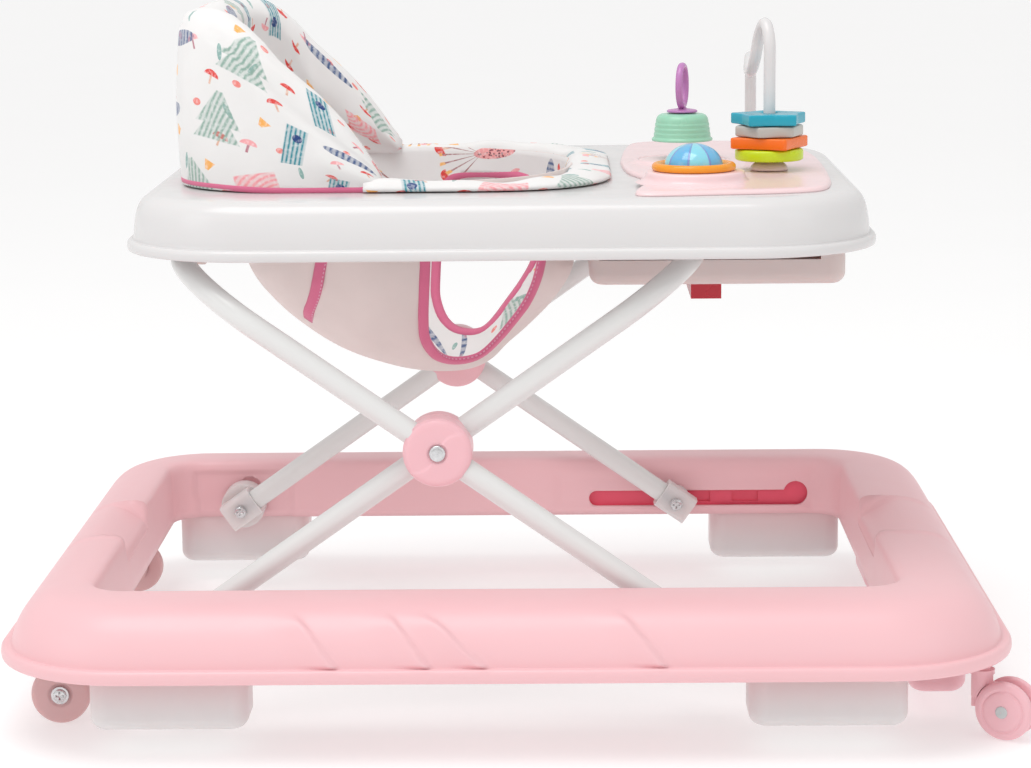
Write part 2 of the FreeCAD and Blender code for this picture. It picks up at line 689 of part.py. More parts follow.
def make_seat():
    """Plain solids for the cloth: padded back, padded collar and hanging sling."""
    tall = "seat_top"
    back = slab("back", rectangle("seat_rear", "seat_wing", "seat_half"), "tray_top + 0.3", tall)
    rounded(back, "70", lambda edge: upright(edge) and edge.BoundBox.XMax < -200)
    hollow = slab("back_hollow", rectangle("seat_rear + seat_thick", "seat_wing + 10",
                                           "seat_half - seat_thick"), "tray_top", f"{tall} + 1")
    rounded(hollow, "50", lambda edge: upright(edge) and edge.BoundBox.XMax < -200)
    slope = new_body("back_slope")
    side = sketch_on(slope, "XZ_Plane", "back_slope_side", "-200")
    polygon(side, [("slope_a_x", f"{tall} + 5"), ("slope_a_x", f"{tall} - 4"),
                   ("slope_b_x", "slope_b_z"), ("slope_c_x", "slope_c_z"),
                   ("seat_wing + 5", "slope_d_z"), ("seat_wing + 5", f"{tall} + 5")])
    pad = slope.newObject("PartDesign::Pad", "back_slope_pad")
    pad.Profile = side
    pad.Length = 400
    slope.Tip = pad
    node(cut("back_cut", back, hollow, slope), "seat_back")

    collar = slab("collar", rectangle("seat_wing + 0.4", "collar_front", "seat_half"),
                  "tray_top + 0.3", "collar_top")
    rounded(collar, "95", lambda edge: upright(edge) and edge.BoundBox.XMax > 0)
    rounded(collar, "7", flat_at(highest(collar)))
    inside = slab("collar_inside", rectangle("seat_wing - 5", "collar_front - collar_wide",
                                             "seat_half - collar_wide"),
                  "tray_top", "collar_top + 1")
    rounded(inside, "68", lambda edge: upright(edge) and edge.BoundBox.XMax > 0)
    node(cut("collar_cut", collar, inside), "seat_collar")

    def bag(name, wall):
        sections = []
        for stage in BAG:
            oval = DOC.addObject("Part::Ellipse", f"{name}_{stage}")
            start, end = f"bag_{stage}_rear", f"bag_{stage}_front"
            bind(oval, MajorRadius=f"bag_{stage}_half - {wall}",
                 MinorRadius=f"({end} - {start}) / 2 - {wall}")
            lift = wall if stage in ("base", "floor") else "0"
            at(oval, f"({end} + {start}) / 2", "0", f"bag_{stage}_high + {lift}",
               axis=(0, 0, 1), angle="90")
            sections.append(oval)
        loft = DOC.addObject("Part::Loft", name)
        loft.Sections = sections
        loft.Solid = True
        loft.Ruled = True
        return loft

    legs = [along_y("leg_hole", "leg_r", "crotch_half", "200", "leg_x", "leg_z"),
            along_y("leg_hole_other", "leg_r", "-crotch_half - 200", "200", "leg_x", "leg_z"),
            box("leg_top", "leg_x - leg_r", "crotch_half", "leg_z", "2 * leg_r", "200",
                "tray_low - leg_z - 4")]
    legs.append(mirrored("leg_top_other", legs[2]))
    top = box("sling_top", "-300", "-200", "tray_top - 2", "500", "400", "50")
    node(cut("sling_cut", bag("sling_outer", "0"), bag("sling_inner", "sling_wall"), top, *legs),
         "seat_sling")


# ---------------------------------------------------------------- toys

def make_panel():
    """The pink toy panel: a lobed plate with two raised stands."""
    near = "-panel_half"
    corners = [("panel_rear + 2", near), ("panel_rear + 24", "-panel_half * 0.55"),
               ("panel_rear", "0"), ("panel_rear + 24", "panel_half * 0.55"),
               ("panel_rear + 2", "panel_half"), ("panel_front - 26", "panel_half"),
               ("panel_front", "panel_half * 0.6"), ("panel_front", "-panel_half * 0.6"),
               ("panel_front - 26", near)]
    plate = slab("panel", corners, "tray_top + 0.2", "tray_top + panel_tall")
    rounded(plate, "14", upright)
    rounded(plate, "2.5", flat_at(highest(plate)))
    drum = turned("dome_stand", [("0", "tray_top + 1"), ("36", "tray_top + 1"), ("33", "dome_low"),
                                 ("0", "dome_low")])
    at(drum, "dome_x + 2", "dome_y")
    table = turned("bell_stand", [("0", "tray_top + 1"), ("44", "tray_top + 1"),
                                  ("34", "bell_low - 0.3"), ("0", "bell_low - 0.3")])
    at(table, "bell_x", "bell_y")
    solid = fuse("panel_solid", plate, drum, table)
    wells = [rod("bell_well", "9.3", "20", "bell_x", "bell_y", "bell_low - 9"),
             rod("dome_well", "4.05", "20", "dome_x", "dome_y", "dome_low - 8")]
    for leg in ("hoop_near_y", "hoop_far_y"):
        wells.append(rod("hoop_well", "hoop_r", "20", "hoop_x", leg, "tray_top + 1"))
    node(cut("panel_cut", solid, *wells), "toy_panel")


def make_bell():
    """The ribbed press bell, its disc and the loop on top."""
    base = "bell_low + bell_press"
    steps = [("0", base), ("7.4", base), ("7.4", "bell_low - 3"), ("9.2", "bell_low - 3"),
             ("9.2", f"{base} - 0.1"), ("bell_r", f"{base} - 0.1"), ("bell_r", f"{base} + 3.4"),
             ("bell_r - 1.6", f"{base} + 3.9"), ("bell_r - 1.6", f"{base} + 9.8"),
             ("bell_r - 3", f"{base} + 10.3"), ("bell_r - 3.4", f"{base} + bell_tall - 9"),
             ("bell_r - 8", f"{base} + bell_tall - 5"), ("0", f"{base} + bell_tall - 5")]
    bell = at(turned("bell", steps), "bell_x", "bell_y")
    node(bell, "bell")
    disc = turned("knob_disc", [("0", "0"), ("14", "0"), ("15", "1"), ("15", "3"), ("13.5", "4.2"),
                                ("4", "5"), ("4", "8"), ("0", "8")])
    at(disc, "bell_x", "bell_y", f"{base} + bell_tall - 4.7")
    loop = DOC.addObject("Part::Torus", "loop")
    bind(loop, Radius1="loop_r", Radius2="loop_wire")
    at(loop, "bell_x", "bell_y", f"{base} + bell_tall + 2 + loop_r + loop_wire",
       axis=(0, 1, 0), angle="90")
    node(fuse("knob", disc, loop), "bell_knob")


def make_dome():
    """The spinning dome in its orange ring."""
    dome = turned("dome", [("0", "dome_low - 6"), ("4", "dome_low - 6"), ("4", "dome_low + 0.5"),
                           ("dome_r", "dome_low + 0.5"), ("dome_r - 0.5", "dome_low + 5"),
                           ("dome_r * 0.86", "dome_low + dome_tall * 0.55"),
                           ("dome_r * 0.6", "dome_low + dome_tall * 0.85"),
                           ("dome_r * 0.3", "dome_low + dome_tall * 0.97"),
                           ("0", "dome_low + dome_tall")])
    node(at(dome, "dome_x", "dome_y"), "spin_dome")
    collar = turned("dome_ring", [("dome_r + 1", "dome_low + 0.05"), ("ring_r - 1", "dome_low + 0.05"),
                                  ("ring_r", "dome_low + 1"), ("ring_r", "dome_low + 4"),
                                  ("ring_r - 2", "dome_low + 5.6"), ("dome_r + 1", "dome_low + 4.4")])
    node(at(collar, "dome_x", "dome_y"), "dome_ring")


def bent_wire(corners, radius):
    """Straight runs between corners, joined by tangent arcs of one radius."""
    edges = []
    start = corners[0]
    for before, corner, after in zip(corners, corners[1:], corners[2:]):
        back = (before - corner).normalize()
        ahead = (after - corner).normalize()
        half_turn = back.getAngle(ahead) / 2
        reach = radius / math.tan(half_turn)
        middle = (back + ahead).normalize()
        centre = corner + middle * (radius / math.sin(half_turn))
        arc = Part.Arc(corner + back * reach, centre - middle * radius, corner + ahead * reach)
        edges.append(Part.makeLine(start, arc.StartPoint))
        edges.append(arc.toShape())
        start = arc.EndPoint
    edges.append(Part.makeLine(start, corners[-1]))
    return Part.Wire(edges)


def make_hoop():
    """The white hoop: one bent rod with a high arch, a dip and a lower, wider arch."""
    size = SHEET.get
    near, far = size("hoop_near_y"), size("hoop_far_y")
    bend, foot = size("hoop_bend"), size("tray_top") + 1.2
    top, dip, hump = size("hoop_top"), size("hoop_dip"), size("hoop_hump")
    valley = near + 2.2 * bend
    route = [(near, foot), (near, top), (valley, top), (valley, dip),
             (valley + 2.4 * bend, dip), (valley + 4.0 * bend, hump), (far, hump), (far, foot)]
    wire = bent_wire([Vector(size("hoop_x"), y, z) for y, z in route], bend)
    ring = Part.Wire(Part.makeCircle(size("hoop_r"), wire.Vertexes[0].Point, Vector(0, 0, 1)))
    hoop = DOC.addObject("Part::Feature", "hoop")
    hoop.Shape = wire.makePipeShell([ring], True, False)
    node(hoop, "toy_hoop")


def make_stack():
    """The shapes threaded on the hoop's near leg, from the bottom up."""
    def ring_of(count, radius, dent, phase):
        points = []
        for i in range(count):
            turn = 2 * math.pi * i / count + phase
            size = radius if i % 2 == 0 else radius * dent
            points.append((f"{size * math.cos(turn):.3f}", f"{size * math.sin(turn):.3f}"))
        return points

    shapes = (("stack_ball", None, 372.0, 380.2), ("stack_disc", ring_of(12, 25.0, 0.9, 0.0), 380.6, 389.0),
              ("stack_square", ring_of(4, 29.0, 1.0, 0.35), 389.4, 397.6),
              ("stack_shield", ring_of(6, 25.0, 1.0, 0.2), 398.0, 405.6),
              ("stack_star", ring_of(10, 26.5, 0.8, 0.1), 406.0, 414.4))
    for label, outline, low, high in shapes:
        if outline is None:
            solid = turned(label, [("hoop_r + 0.4", low + 1), ("hoop_r + 2", low + 1), ("13", low + 2.4),
                                   ("14.5", low + 5), ("13", high - 1), ("hoop_r + 0.4", high)])
            at(solid, "hoop_x", "hoop_near_y")
            node(solid, label)
            continue
        tile = slab(f"{label}_tile", outline, low, high)
        rounded(tile, "3", upright)
        at(tile, "hoop_x", "hoop_near_y")
        hole = rod(f"{label}_hole", "hoop_r + 0.4", "30", "hoop_x", "hoop_near_y", f"{low} - 10")
        node(cut(label, tile, hole), label)


make_ring()
make_feet()
make_rear_wheels()
make_casters()
make_base_fittings()
make_frame()
make_tray()
make_seat()
make_panel()
make_bell()
make_dome()
make_hoop()
make_stack()
DOC.recompute()

for item in DOC.Objects:
    if "Invalid" in item.State or "Error" in item.State:
        raise RuntimeError(f"{item.Name} failed: {item.State}")
for piece in NODES:
    if piece.Shape.isNull() or not piece.Shape.isValid():
        raise RuntimeError(f"{piece.Label} has no valid shape")
    piece.Shape.exportStep(f"parts/{piece.Label}.step")
    bounds = piece.Shape.BoundBox
    print(f"{piece.Label:20} {len(piece.Shape.Solids)} solids, {piece.Shape.Volume / 1000:8.1f} cm3, "
          f"x {bounds.XMin:.1f} {bounds.XMax:.1f}, y {bounds.YMin:.1f} {bounds.YMax:.1f}, "
          f"z {bounds.ZMin:.1f} {bounds.ZMax:.1f}")
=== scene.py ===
# %% [markdown]
# # A folding baby walker
# The walker is a pink moulded ring on wheels, a scissor frame of two bent tubes, and a white
# tray with a cloth seat and a toy panel. The engineering model already holds every hard part
# in its right place, so this lesson loads it as a fixed frame and gives it its looks: it
# rebuilds the parts whose shape is soft or sculpted, and finishes all the others.

# %% Load the frame
import json
import math

import bmesh
import bpy
import numpy as np
from mathutils import Matrix, Vector


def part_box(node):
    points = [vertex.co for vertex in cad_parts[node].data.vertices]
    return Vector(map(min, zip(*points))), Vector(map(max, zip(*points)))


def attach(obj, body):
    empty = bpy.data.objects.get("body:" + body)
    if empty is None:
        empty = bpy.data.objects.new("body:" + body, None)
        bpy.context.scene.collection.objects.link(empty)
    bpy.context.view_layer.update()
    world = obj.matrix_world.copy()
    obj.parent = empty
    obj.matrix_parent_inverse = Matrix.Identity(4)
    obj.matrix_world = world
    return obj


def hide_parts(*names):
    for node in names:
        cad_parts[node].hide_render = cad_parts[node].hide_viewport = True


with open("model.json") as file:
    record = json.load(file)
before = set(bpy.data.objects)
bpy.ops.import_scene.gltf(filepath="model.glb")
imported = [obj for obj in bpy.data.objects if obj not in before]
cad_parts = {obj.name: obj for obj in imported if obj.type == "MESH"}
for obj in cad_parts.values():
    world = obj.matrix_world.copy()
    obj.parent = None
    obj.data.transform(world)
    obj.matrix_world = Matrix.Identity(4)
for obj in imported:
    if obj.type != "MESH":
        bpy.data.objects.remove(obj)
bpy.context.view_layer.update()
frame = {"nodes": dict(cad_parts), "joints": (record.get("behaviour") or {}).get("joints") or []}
nodes = frame["nodes"]
mm = 0.001
print("frame nodes:", len(nodes))


# %% [markdown]
# ## Floor, light and camera
# Nursery goods are shown on a seamless pale sweep with large soft lamps, so every edge stays
# gentle. One broad lamp overhead, one at each side and a bright surround do that here. The
# camera is a long lens a little above the tray, which keeps the ring's two sides almost parallel.

# %% Studio
def plain_floor():
    """A large flat floor; the paper finish given to it below makes it pale and faintly mottled."""
    bpy.ops.mesh.primitive_grid_add(x_subdivisions=40, y_subdivisions=40, size=24, location=(0, 4, -0.0006))
    floor = bpy.context.object
    floor.name = "studio_floor"
    return floor


def soft_lamp(name, place, target, size, power):
    """A large square lamp that faces a point."""
    lamp = bpy.data.objects.new(name, bpy.data.lights.new(name, "AREA"))
    lamp.data.shape = "SQUARE"
    lamp.data.size = size
    lamp.data.energy = power
    lamp.location = place
    aim = Vector(target) - Vector(place)
    lamp.rotation_euler = aim.to_track_quat("-Z", "Y").to_euler()
    bpy.context.scene.collection.objects.link(lamp)
    return lamp


floor = plain_floor()
soft_lamp("lamp_above", (-0.5, -0.7, 2.4), (0, 0, 0.2), 1.5, 24)
soft_lamp("lamp_left", (-2.4, -1.6, 1.5), (0, 0, 0.2), 1.4, 5)
soft_lamp("lamp_right", (2.2, -1.9, 1.4), (0, 0, 0.2), 1.4, 3)
soft_lamp("lamp_front", (0.0, -3.2, 1.7), (0, 0, 0.25), 1.8, 2)
surround = bpy.data.worlds.new("surround")
surround.use_nodes = True
surround.node_tree.nodes["Background"].inputs[0].default_value = (1.0, 0.995, 0.99, 1)
surround.node_tree.nodes["Background"].inputs[1].default_value = 0.74
bpy.context.scene.world = surround
bpy.context.scene.view_settings.view_transform = "Standard"

# %% Camera
yaw, pitch, roll = (math.radians(a) for a in (0.87, 10.01, -0.58))
ahead = Vector((-math.sin(yaw) * math.cos(pitch), math.cos(yaw) * math.cos(pitch), -math.sin(pitch)))
right = Vector((math.cos(yaw), math.sin(yaw), 0))
upward = right.cross(ahead)
across = right * math.cos(roll) + upward * math.sin(roll)
upward = upward * math.cos(roll) - right * math.sin(roll)
camera = bpy.data.objects.new("camera", bpy.data.cameras.new("camera"))
camera.matrix_world = Matrix((
    (across.x, upward.x, -ahead.x, 0.0305),
    (across.y, upward.y, -ahead.y, -2.14514),
    (across.z, upward.z, -ahead.z, 0.58434),
    (0, 0, 0, 1)))
camera.data.sensor_width = 36
camera.data.lens = 100.7
camera.data.clip_end = 60
bpy.context.scene.collection.objects.link(camera)
bpy.context.scene.camera = camera


# %% [markdown]
# ## A small kit for finishes
# Moulded plastic, painted tube and cloth all need the same few moves: noise that varies the
# colour a little, fine bumps, and shapes drawn with sums and thresholds. A short wrapper around
# Blender's nodes lets a finish be written almost like a formula.

# %% Node wrapper
class Finish:
    """A material that is written as formulas."""

    def __init__(self, name, colour, rough):
        self.material = bpy.data.materials.new(name)
        self.material.use_nodes = True
        self.tree = self.material.node_tree
        self.surface = self.tree.nodes["Principled BSDF"]
        self.surface.inputs["Base Color"].default_value = (*colour, 1)
        self.surface.inputs["Roughness"].default_value = rough
        self.colour = colour

    def node(self, kind, *inputs, **settings):
        """Adds a node; inputs are sockets or numbers, in order."""
        made = self.tree.nodes.new(kind)
        for key, value in settings.items():
            setattr(made, key, value)
        for i, value in enumerate(inputs):
            self.feed(made.inputs[i], value)
        return made

    def feed(self, socket, value):
        """Sets a socket, or links it."""
        if isinstance(value, bpy.types.NodeSocket):
            self.tree.links.new(value, socket)
        elif value is not None:
            socket.default_value = value

    def sum(self, operation, *values):
        """A Math node."""
        return self.node("ShaderNodeMath", *values, operation=operation).outputs[0]

    def step(self, value, start, end):
        """0 before start, 1 after end, smooth between them."""
        made = self.node("ShaderNodeMapRange", value, start, end, 0.0, 1.0, interpolation_type="SMOOTHSTEP")
        return made.outputs[0]

    def blend(self, share, first, second):
        """Mixes two colours."""
        made = self.tree.nodes.new("ShaderNodeMix")
        made.data_type = "RGBA"
        self.feed(made.inputs[0], share)
        for socket, colour in ((made.inputs[6], first), (made.inputs[7], second)):
            self.feed(socket, (*colour, 1) if isinstance(colour, tuple) and len(colour) == 3 else colour)
        return made.outputs[2]

    def place(self):
        """The point's own coordinates on its piece, in metres."""
        return self.node("ShaderNodeTexCoord").outputs["Object"]

    def noise(self, scale, detail=3.0, place=None):
        """Soft random variation from 0 to 1."""
        made = self.tree.nodes.new("ShaderNodeTexNoise")
        self.feed(made.inputs["Vector"], place or self.place())
        made.inputs["Scale"].default_value = scale
        made.inputs["Detail"].default_value = detail
        return made.outputs["Fac"]

    def bump(self, height, strength, distance):
        """Raises the surface by a height pattern."""
        made = self.tree.nodes.new("ShaderNodeBump")
        made.inputs["Strength"].default_value = strength
        made.inputs["Distance"].default_value = distance
        self.feed(made.inputs["Height"], height)
        if self.surface.inputs["Normal"].is_linked:
            self.feed(made.inputs["Normal"], self.surface.inputs["Normal"].links[0].from_socket)
        self.feed(self.surface.inputs["Normal"], made.outputs[0])

    def colour_from(self, colour):
        self.feed(self.surface.inputs["Base Color"], colour)

    def rough_from(self, low, high, pattern):
        """Roughness between two values, after a pattern."""
        made = self.node("ShaderNodeMapRange", pattern, 0.3, 0.7, low, high)
        self.feed(self.surface.inputs["Roughness"], made.outputs[0])


# %% [markdown]
# ## Plastics and metal
# Injection-moulded polypropylene is slightly uneven in gloss, carries a very fine grain from
# the tool, and lets a little light in, so thin edges glow. Each plastic here gets all three,
# with the grain about a third of a millimetre across. The tubes are powder coated, which
# leaves a fine orange-peel skin, and the screws are bright plated steel.

# %% Plastic and metal finishes
def plastic(name, colour, rough=0.32, glow=0.08, grain=0.08, tint=0.012):
    """A moulded plastic with tool grain, uneven gloss and a little light inside."""
    finish = Finish(name, colour, rough)
    deep = tuple(c * (1 - tint * 1.6) for c in colour)
    pale = tuple(min(1.0, c * (1 + tint)) for c in colour)
    finish.colour_from(finish.blend(finish.noise(5, 2), deep, pale))
    finish.rough_from(rough - 0.015, rough + 0.02, finish.noise(55, 3))
    finish.surface.inputs["Subsurface Weight"].default_value = glow
    finish.surface.inputs["Subsurface Radius"].default_value = (0.012, 0.007, 0.006)
    finish.surface.inputs["Subsurface Scale"].default_value = 0.6
    finish.bump(finish.noise(1800, 2), grain, 0.00002)
    finish.bump(finish.noise(16, 1), 0.08, 0.0002)
    return finish.material


def frosted(name, colour, painted_glow):
    """A milky see-through plastic, with the pink glow of the pink part above it painted near its top."""
    finish = Finish(name, colour, 0.42)
    height = finish.node("ShaderNodeSeparateXYZ", finish.place()).outputs[2]
    # Painted pink glow: from 22 mm to 58 mm up, the colour turns at most three quarters of the way to the
    # glow colour, which is the third argument.
    wash = finish.sum("MULTIPLY", finish.step(height, 0.022, 0.058), 0.75)
    cloud = finish.step(finish.noise(18, 3), 0.3, 0.7)
    body = finish.blend(cloud, tuple(c * 0.96 for c in colour), colour)
    finish.colour_from(finish.blend(wash, body, painted_glow))
    finish.rough_from(0.36, 0.5, finish.noise(60, 3))
    finish.surface.inputs["Subsurface Weight"].default_value = 0.45
    finish.surface.inputs["Subsurface Radius"].default_value = (0.02, 0.016, 0.015)
    finish.surface.inputs["Subsurface Scale"].default_value = 0.8
    finish.surface.inputs["Coat Weight"].default_value = 0.15
    finish.bump(finish.noise(900, 2), 0.15, 0.00008)
    return finish.material


def tube_paint():
    """White powder coat on steel tube."""
    finish = Finish("white_tube", (0.70, 0.70, 0.68), 0.3)
    shade = finish.noise(6, 2)
    finish.colour_from(finish.blend(shade, (0.755, 0.755, 0.745), (0.775, 0.775, 0.765)))
    finish.rough_from(0.28, 0.33, finish.noise(80, 3))
    finish.surface.inputs["Coat Weight"].default_value = 0.35
    finish.surface.inputs["Coat Roughness"].default_value = 0.16
    finish.bump(finish.noise(700, 2), 0.1, 0.00006)
    return finish.material


def plated_steel():
    """Bright plated steel with fine scuffs."""
    finish = Finish("bright_steel", (0.62, 0.62, 0.63), 0.2)
    finish.surface.inputs["Metallic"].default_value = 1.0
    finish.colour_from(finish.blend(finish.noise(300, 3), (0.5, 0.5, 0.51), (0.78, 0.78, 0.79)))
    finish.rough_from(0.14, 0.34, finish.noise(900, 3))
    finish.bump(finish.noise(1500, 2), 0.2, 0.00005)
    return finish.material


pink = plastic("pink_moulding", (0.885, 0.535, 0.565), 0.38, 0.04)
pink_fitting = plastic("pink_fittings", (0.88, 0.51, 0.555), 0.32, 0.08)
pink_panel = plastic("pink_panel", (0.89, 0.665, 0.68), 0.24, 0.06)
wheel_pink = plastic("wheel_plastic", (0.70, 0.45, 0.45), 0.42, 0.2)
white = plastic("white_moulding", (0.715, 0.70, 0.70), 0.22, 0.03)
pale = plastic("pale_plastic", (0.70, 0.585, 0.565), 0.45, 0.25)
grey_cap = plastic("grey_cap", (0.55, 0.58, 0.58), 0.25, 0.05)
red = plastic("red_plastic", (0.50, 0.012, 0.03), 0.28, 0.06)
mint = plastic("mint", (0.33, 0.66, 0.48), 0.26, 0.12)
lilac = plastic("lilac", (0.52, 0.22, 0.50), 0.25, 0.12)
orange = plastic("orange", (0.90, 0.33, 0.015), 0.26, 0.1)
deep_orange = plastic("deep_orange", (0.93, 0.17, 0.006), 0.26, 0.1)
lime = plastic("lime", (0.58, 0.75, 0.01), 0.26, 0.1)
grey_toy = plastic("grey_toy", (0.50, 0.49, 0.45), 0.3, 0.08)
teal = plastic("teal", (0.01, 0.37, 0.50), 0.22, 0.06)
# The second colour is the pink glow of the ring above, painted near the tops of the feet; the caps get none.
milk = frosted("frosted_plastic", (0.83, 0.78, 0.77), (0.86, 0.56, 0.57))
cap_milk = frosted("cap_plastic", (0.72, 0.67, 0.665), (0.72, 0.67, 0.665))
tube_white = tube_paint()
steel = plated_steel()


# %% Floor finish
def paper():
    """Pale studio paper that gives off a little light, which keeps the shadows pale."""
    finish = Finish("studio_paper", (0.6, 0.6, 0.6), 0.8)
    finish.colour_from(finish.blend(finish.noise(3, 3), (0.59, 0.59, 0.59), (0.61, 0.61, 0.61)))
    finish.surface.inputs["Emission Color"].default_value = (1.0, 0.995, 0.995, 1)
    finish.surface.inputs["Emission Strength"].default_value = 0.46
    finish.surface.inputs["Specular IOR Level"].default_value = 0.2
    finish.bump(finish.noise(400, 2), 0.1, 0.0002)
    return finish.material


floor.data.materials.append(paper())


# %% [markdown]
# ## Making skins
# Most of the sculpted parts are a section carried along a path: the ring, the tray, the padded
# edges. One helper joins rows of points into a skin, writes each point's real distance along
# and across the skin as its texture coordinates in metres, and hangs the piece on its body.

# %% Skins from rows of points
def finish_piece(piece, body, finish):
    """Gives a new piece its finish and the body it moves with."""
    piece.data.materials.clear()
    for one in (finish if isinstance(finish, (list, tuple)) else [finish]):
        piece.data.materials.append(one)
    for face in piece.data.polygons:
        face.use_smooth = True
    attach(piece, body)
    return piece


def mesh_piece(name, points, faces, chart=None):
    """An object from points in millimetres and faces, with optional texture coordinates."""
    mesh = bpy.data.meshes.new(name)
    mesh.from_pydata([tuple(float(c) * mm for c in p) for p in points], [], faces)
    if chart is not None:
        layer = mesh.uv_layers.new(name="cut")
        layer.data.foreach_set("uv", np.asarray(chart, np.float32).ravel())
    piece = bpy.data.objects.new(name, mesh)
    bpy.context.scene.collection.objects.link(piece)
    return piece


def tidy(piece, join=0.00002):
    """Joins doubled points and turns all faces outwards."""
    work = bmesh.new()
    work.from_mesh(piece.data)
    bmesh.ops.remove_doubles(work, verts=work.verts, dist=join)
    bmesh.ops.recalc_face_normals(work, faces=work.faces)
    work.to_mesh(piece.data)
    work.free()
    return piece


def lengths(line, closed):
    """The running distance along a line of points."""
    line = np.vstack([line, line[:1]]) if closed else np.asarray(line)
    return np.concatenate([[0], np.cumsum(np.linalg.norm(np.diff(line, axis=0), axis=1))])


def skin(name, rows, across_closed=True, along_closed=False, capped=False):
    """A skin through rows of points; each row is one section."""
    rows = np.asarray(rows, float)
    count, wide = rows.shape[:2]
    u = lengths(rows.mean(1) if not along_closed else rows[:, 0], along_closed)
    v = lengths(rows[count // 2], across_closed)
    faces, chart = [], []
    for i in range(count if along_closed else count - 1):
        for j in range(wide if across_closed else wide - 1):
            ring, side = (i + 1) % count, (j + 1) % wide
            faces.append((i * wide + j, i * wide + side, ring * wide + side, ring * wide + j))
            chart += [(u[i], v[j]), (u[i], v[j + 1]), (u[i + 1], v[j + 1]), (u[i + 1], v[j])]
    if capped:
        for i in (0, count - 1):
            faces.append(tuple(i * wide + j for j in range(wide)))
            chart += [(u[i], v[j]) for j in range(wide)]
    return tidy(mesh_piece(name, rows.reshape(-1, 3), faces, np.array(chart) * mm))


def smooth_line(points, times=2):
    """Cuts the corners of an open line, so that it bends smoothly; the ends stay."""
    points = np.asarray(points, float)
    for _ in range(times):
        first, second = points[:-1], points[1:]
        cut = np.stack([first * 0.75 + second * 0.25, first * 0.25 + second * 0.75],
                       1).reshape(-1, points.shape[1])
        points = np.vstack([points[:1], cut[1:-1], points[-1:]])
    return points


def lathe(name, profile, centre, axis=(0, 0, 1), segments=72, soften=2):
    """A turned piece from (radius, height) points, its axis through centre."""
    line = smooth_line(profile, soften)
    turns = np.linspace(0, 2 * math.pi, segments, endpoint=False)
    rows = [[(r * math.cos(t), r * math.sin(t), z) for t in turns] for r, z in line]
    turn = np.array(Vector(axis).to_track_quat("Z", "Y").to_matrix())
    rows = np.asarray(rows) @ turn.T + np.asarray(centre, float)
    return skin(name, rows)


def resampled(points, count, closed=False):
    """Points spaced evenly along a line."""
    points = np.asarray(points, float)
    run = lengths(points, closed)
    full = np.vstack([points, points[:1]]) if closed else points
    wanted = np.linspace(0, run[-1], count, endpoint=not closed)
    return np.stack([np.interp(wanted, run, full[:, k]) for k in range(full.shape[1])], 1)


def spline(points, count, closed=False):
    """A smooth curve through points (Catmull-Rom), sampled evenly."""
    points = np.asarray(points, float)
    if closed:
        padded = np.vstack([points[-1:], points, points[:2]])
    else:
        padded = np.vstack([2 * points[0] - points[1], points, 2 * points[-1] - points[-2]])
    out = []
    for a, b, c, d in zip(padded, padded[1:], padded[2:], padded[3:]):
        for t in np.linspace(0, 1, 16, endpoint=False):
            out.append(0.5 * (2 * b + (c - a) * t + (2 * a - 5 * b + 4 * c - d) * t**2
                              + (3 * b - a - 3 * c + d) * t**3))
    if not closed:
        out.append(points[-1])
    return resampled(out, count, closed)


def directions(line, closed):
    """Unit tangents along a line."""
    ahead_of = np.roll(line, -1, 0) - np.roll(line, 1, 0)
    if not closed:
        ahead_of[0] = line[1] - line[0]
        ahead_of[-1] = line[-1] - line[-2]
    return ahead_of / np.linalg.norm(ahead_of, axis=1)[:, None]


def bead(name, path, outward, shape, closed=False):
    """Carries a small section along a path; outward gives the section's first direction."""
    path = np.asarray(path, float)
    tangent = directions(path, closed)
    outward = np.asarray(outward, float)
    outward = outward - (outward * tangent).sum(1)[:, None] * tangent
    outward /= np.linalg.norm(outward, axis=1)[:, None]
    side = np.cross(tangent, outward)
    rows = [path[i] + np.outer([s[0] for s in shape], outward[i]) + np.outer([s[1] for s in shape], side[i])
            for i in range(len(path))]
    return skin(name, rows, along_closed=closed, capped=not closed)


def round_section(radius, count=12, flat=1.0):
    """A round or flattened section: thin along the first direction."""
    turns = np.linspace(0, 2 * math.pi, count, endpoint=False)
    return [(radius * flat * math.cos(t), radius * math.sin(t)) for t in turns]


def joint(name):
    """The joint of that name."""
    return next(j for j in frame["joints"] if j["name"] == name)


def joint_place(name):
    """Where a joint sits, in millimetres."""
    return np.array(joint(name)["pos_m"]) / mm


print("kit ready")


# %% [markdown]
# ## Rounded loops
# The ring and the tray both follow rectangles with rounded corners, outside and inside. A loop
# helper gives matching points on any such rectangle, so a section can be given as steps: so far
# in from the outer edge, or so far out from the opening, at such a height.

# %% Rounded loops
def loop(rear, front, half, corner, inset=0.0, side_points=(190, 110), corner_points=17):
    """Points around a rounded rectangle, and the outward direction at each."""
    rear, front, half = rear + inset, front - inset, half - inset
    corner = max(corner - inset, 0.5)
    spots, away = [], []
    centres = ((front - corner, half - corner, 0), (rear + corner, half - corner, 90),
               (rear + corner, -half + corner, 180), (front - corner, -half + corner, 270))
    for k, (cx, cy, start) in enumerate(centres):
        arc = [math.radians(start + 90 * i / (corner_points - 1)) for i in range(corner_points)]
        for a in arc:
            spots.append((cx + corner * math.cos(a), cy + corner * math.sin(a)))
            away.append((math.cos(a), math.sin(a)))
        nx, ny, _ = centres[(k + 1) % 4]
        a = math.radians(start + 90)
        here = np.array(spots[-1])
        there = np.array((nx + corner * math.cos(a), ny + corner * math.sin(a)))
        steps = side_points[k % 2]
        for i in range(1, steps):
            spots.append(tuple(here + (there - here) * i / steps))
            away.append((math.cos(a), math.sin(a)))
    return np.array(spots), np.array(away)


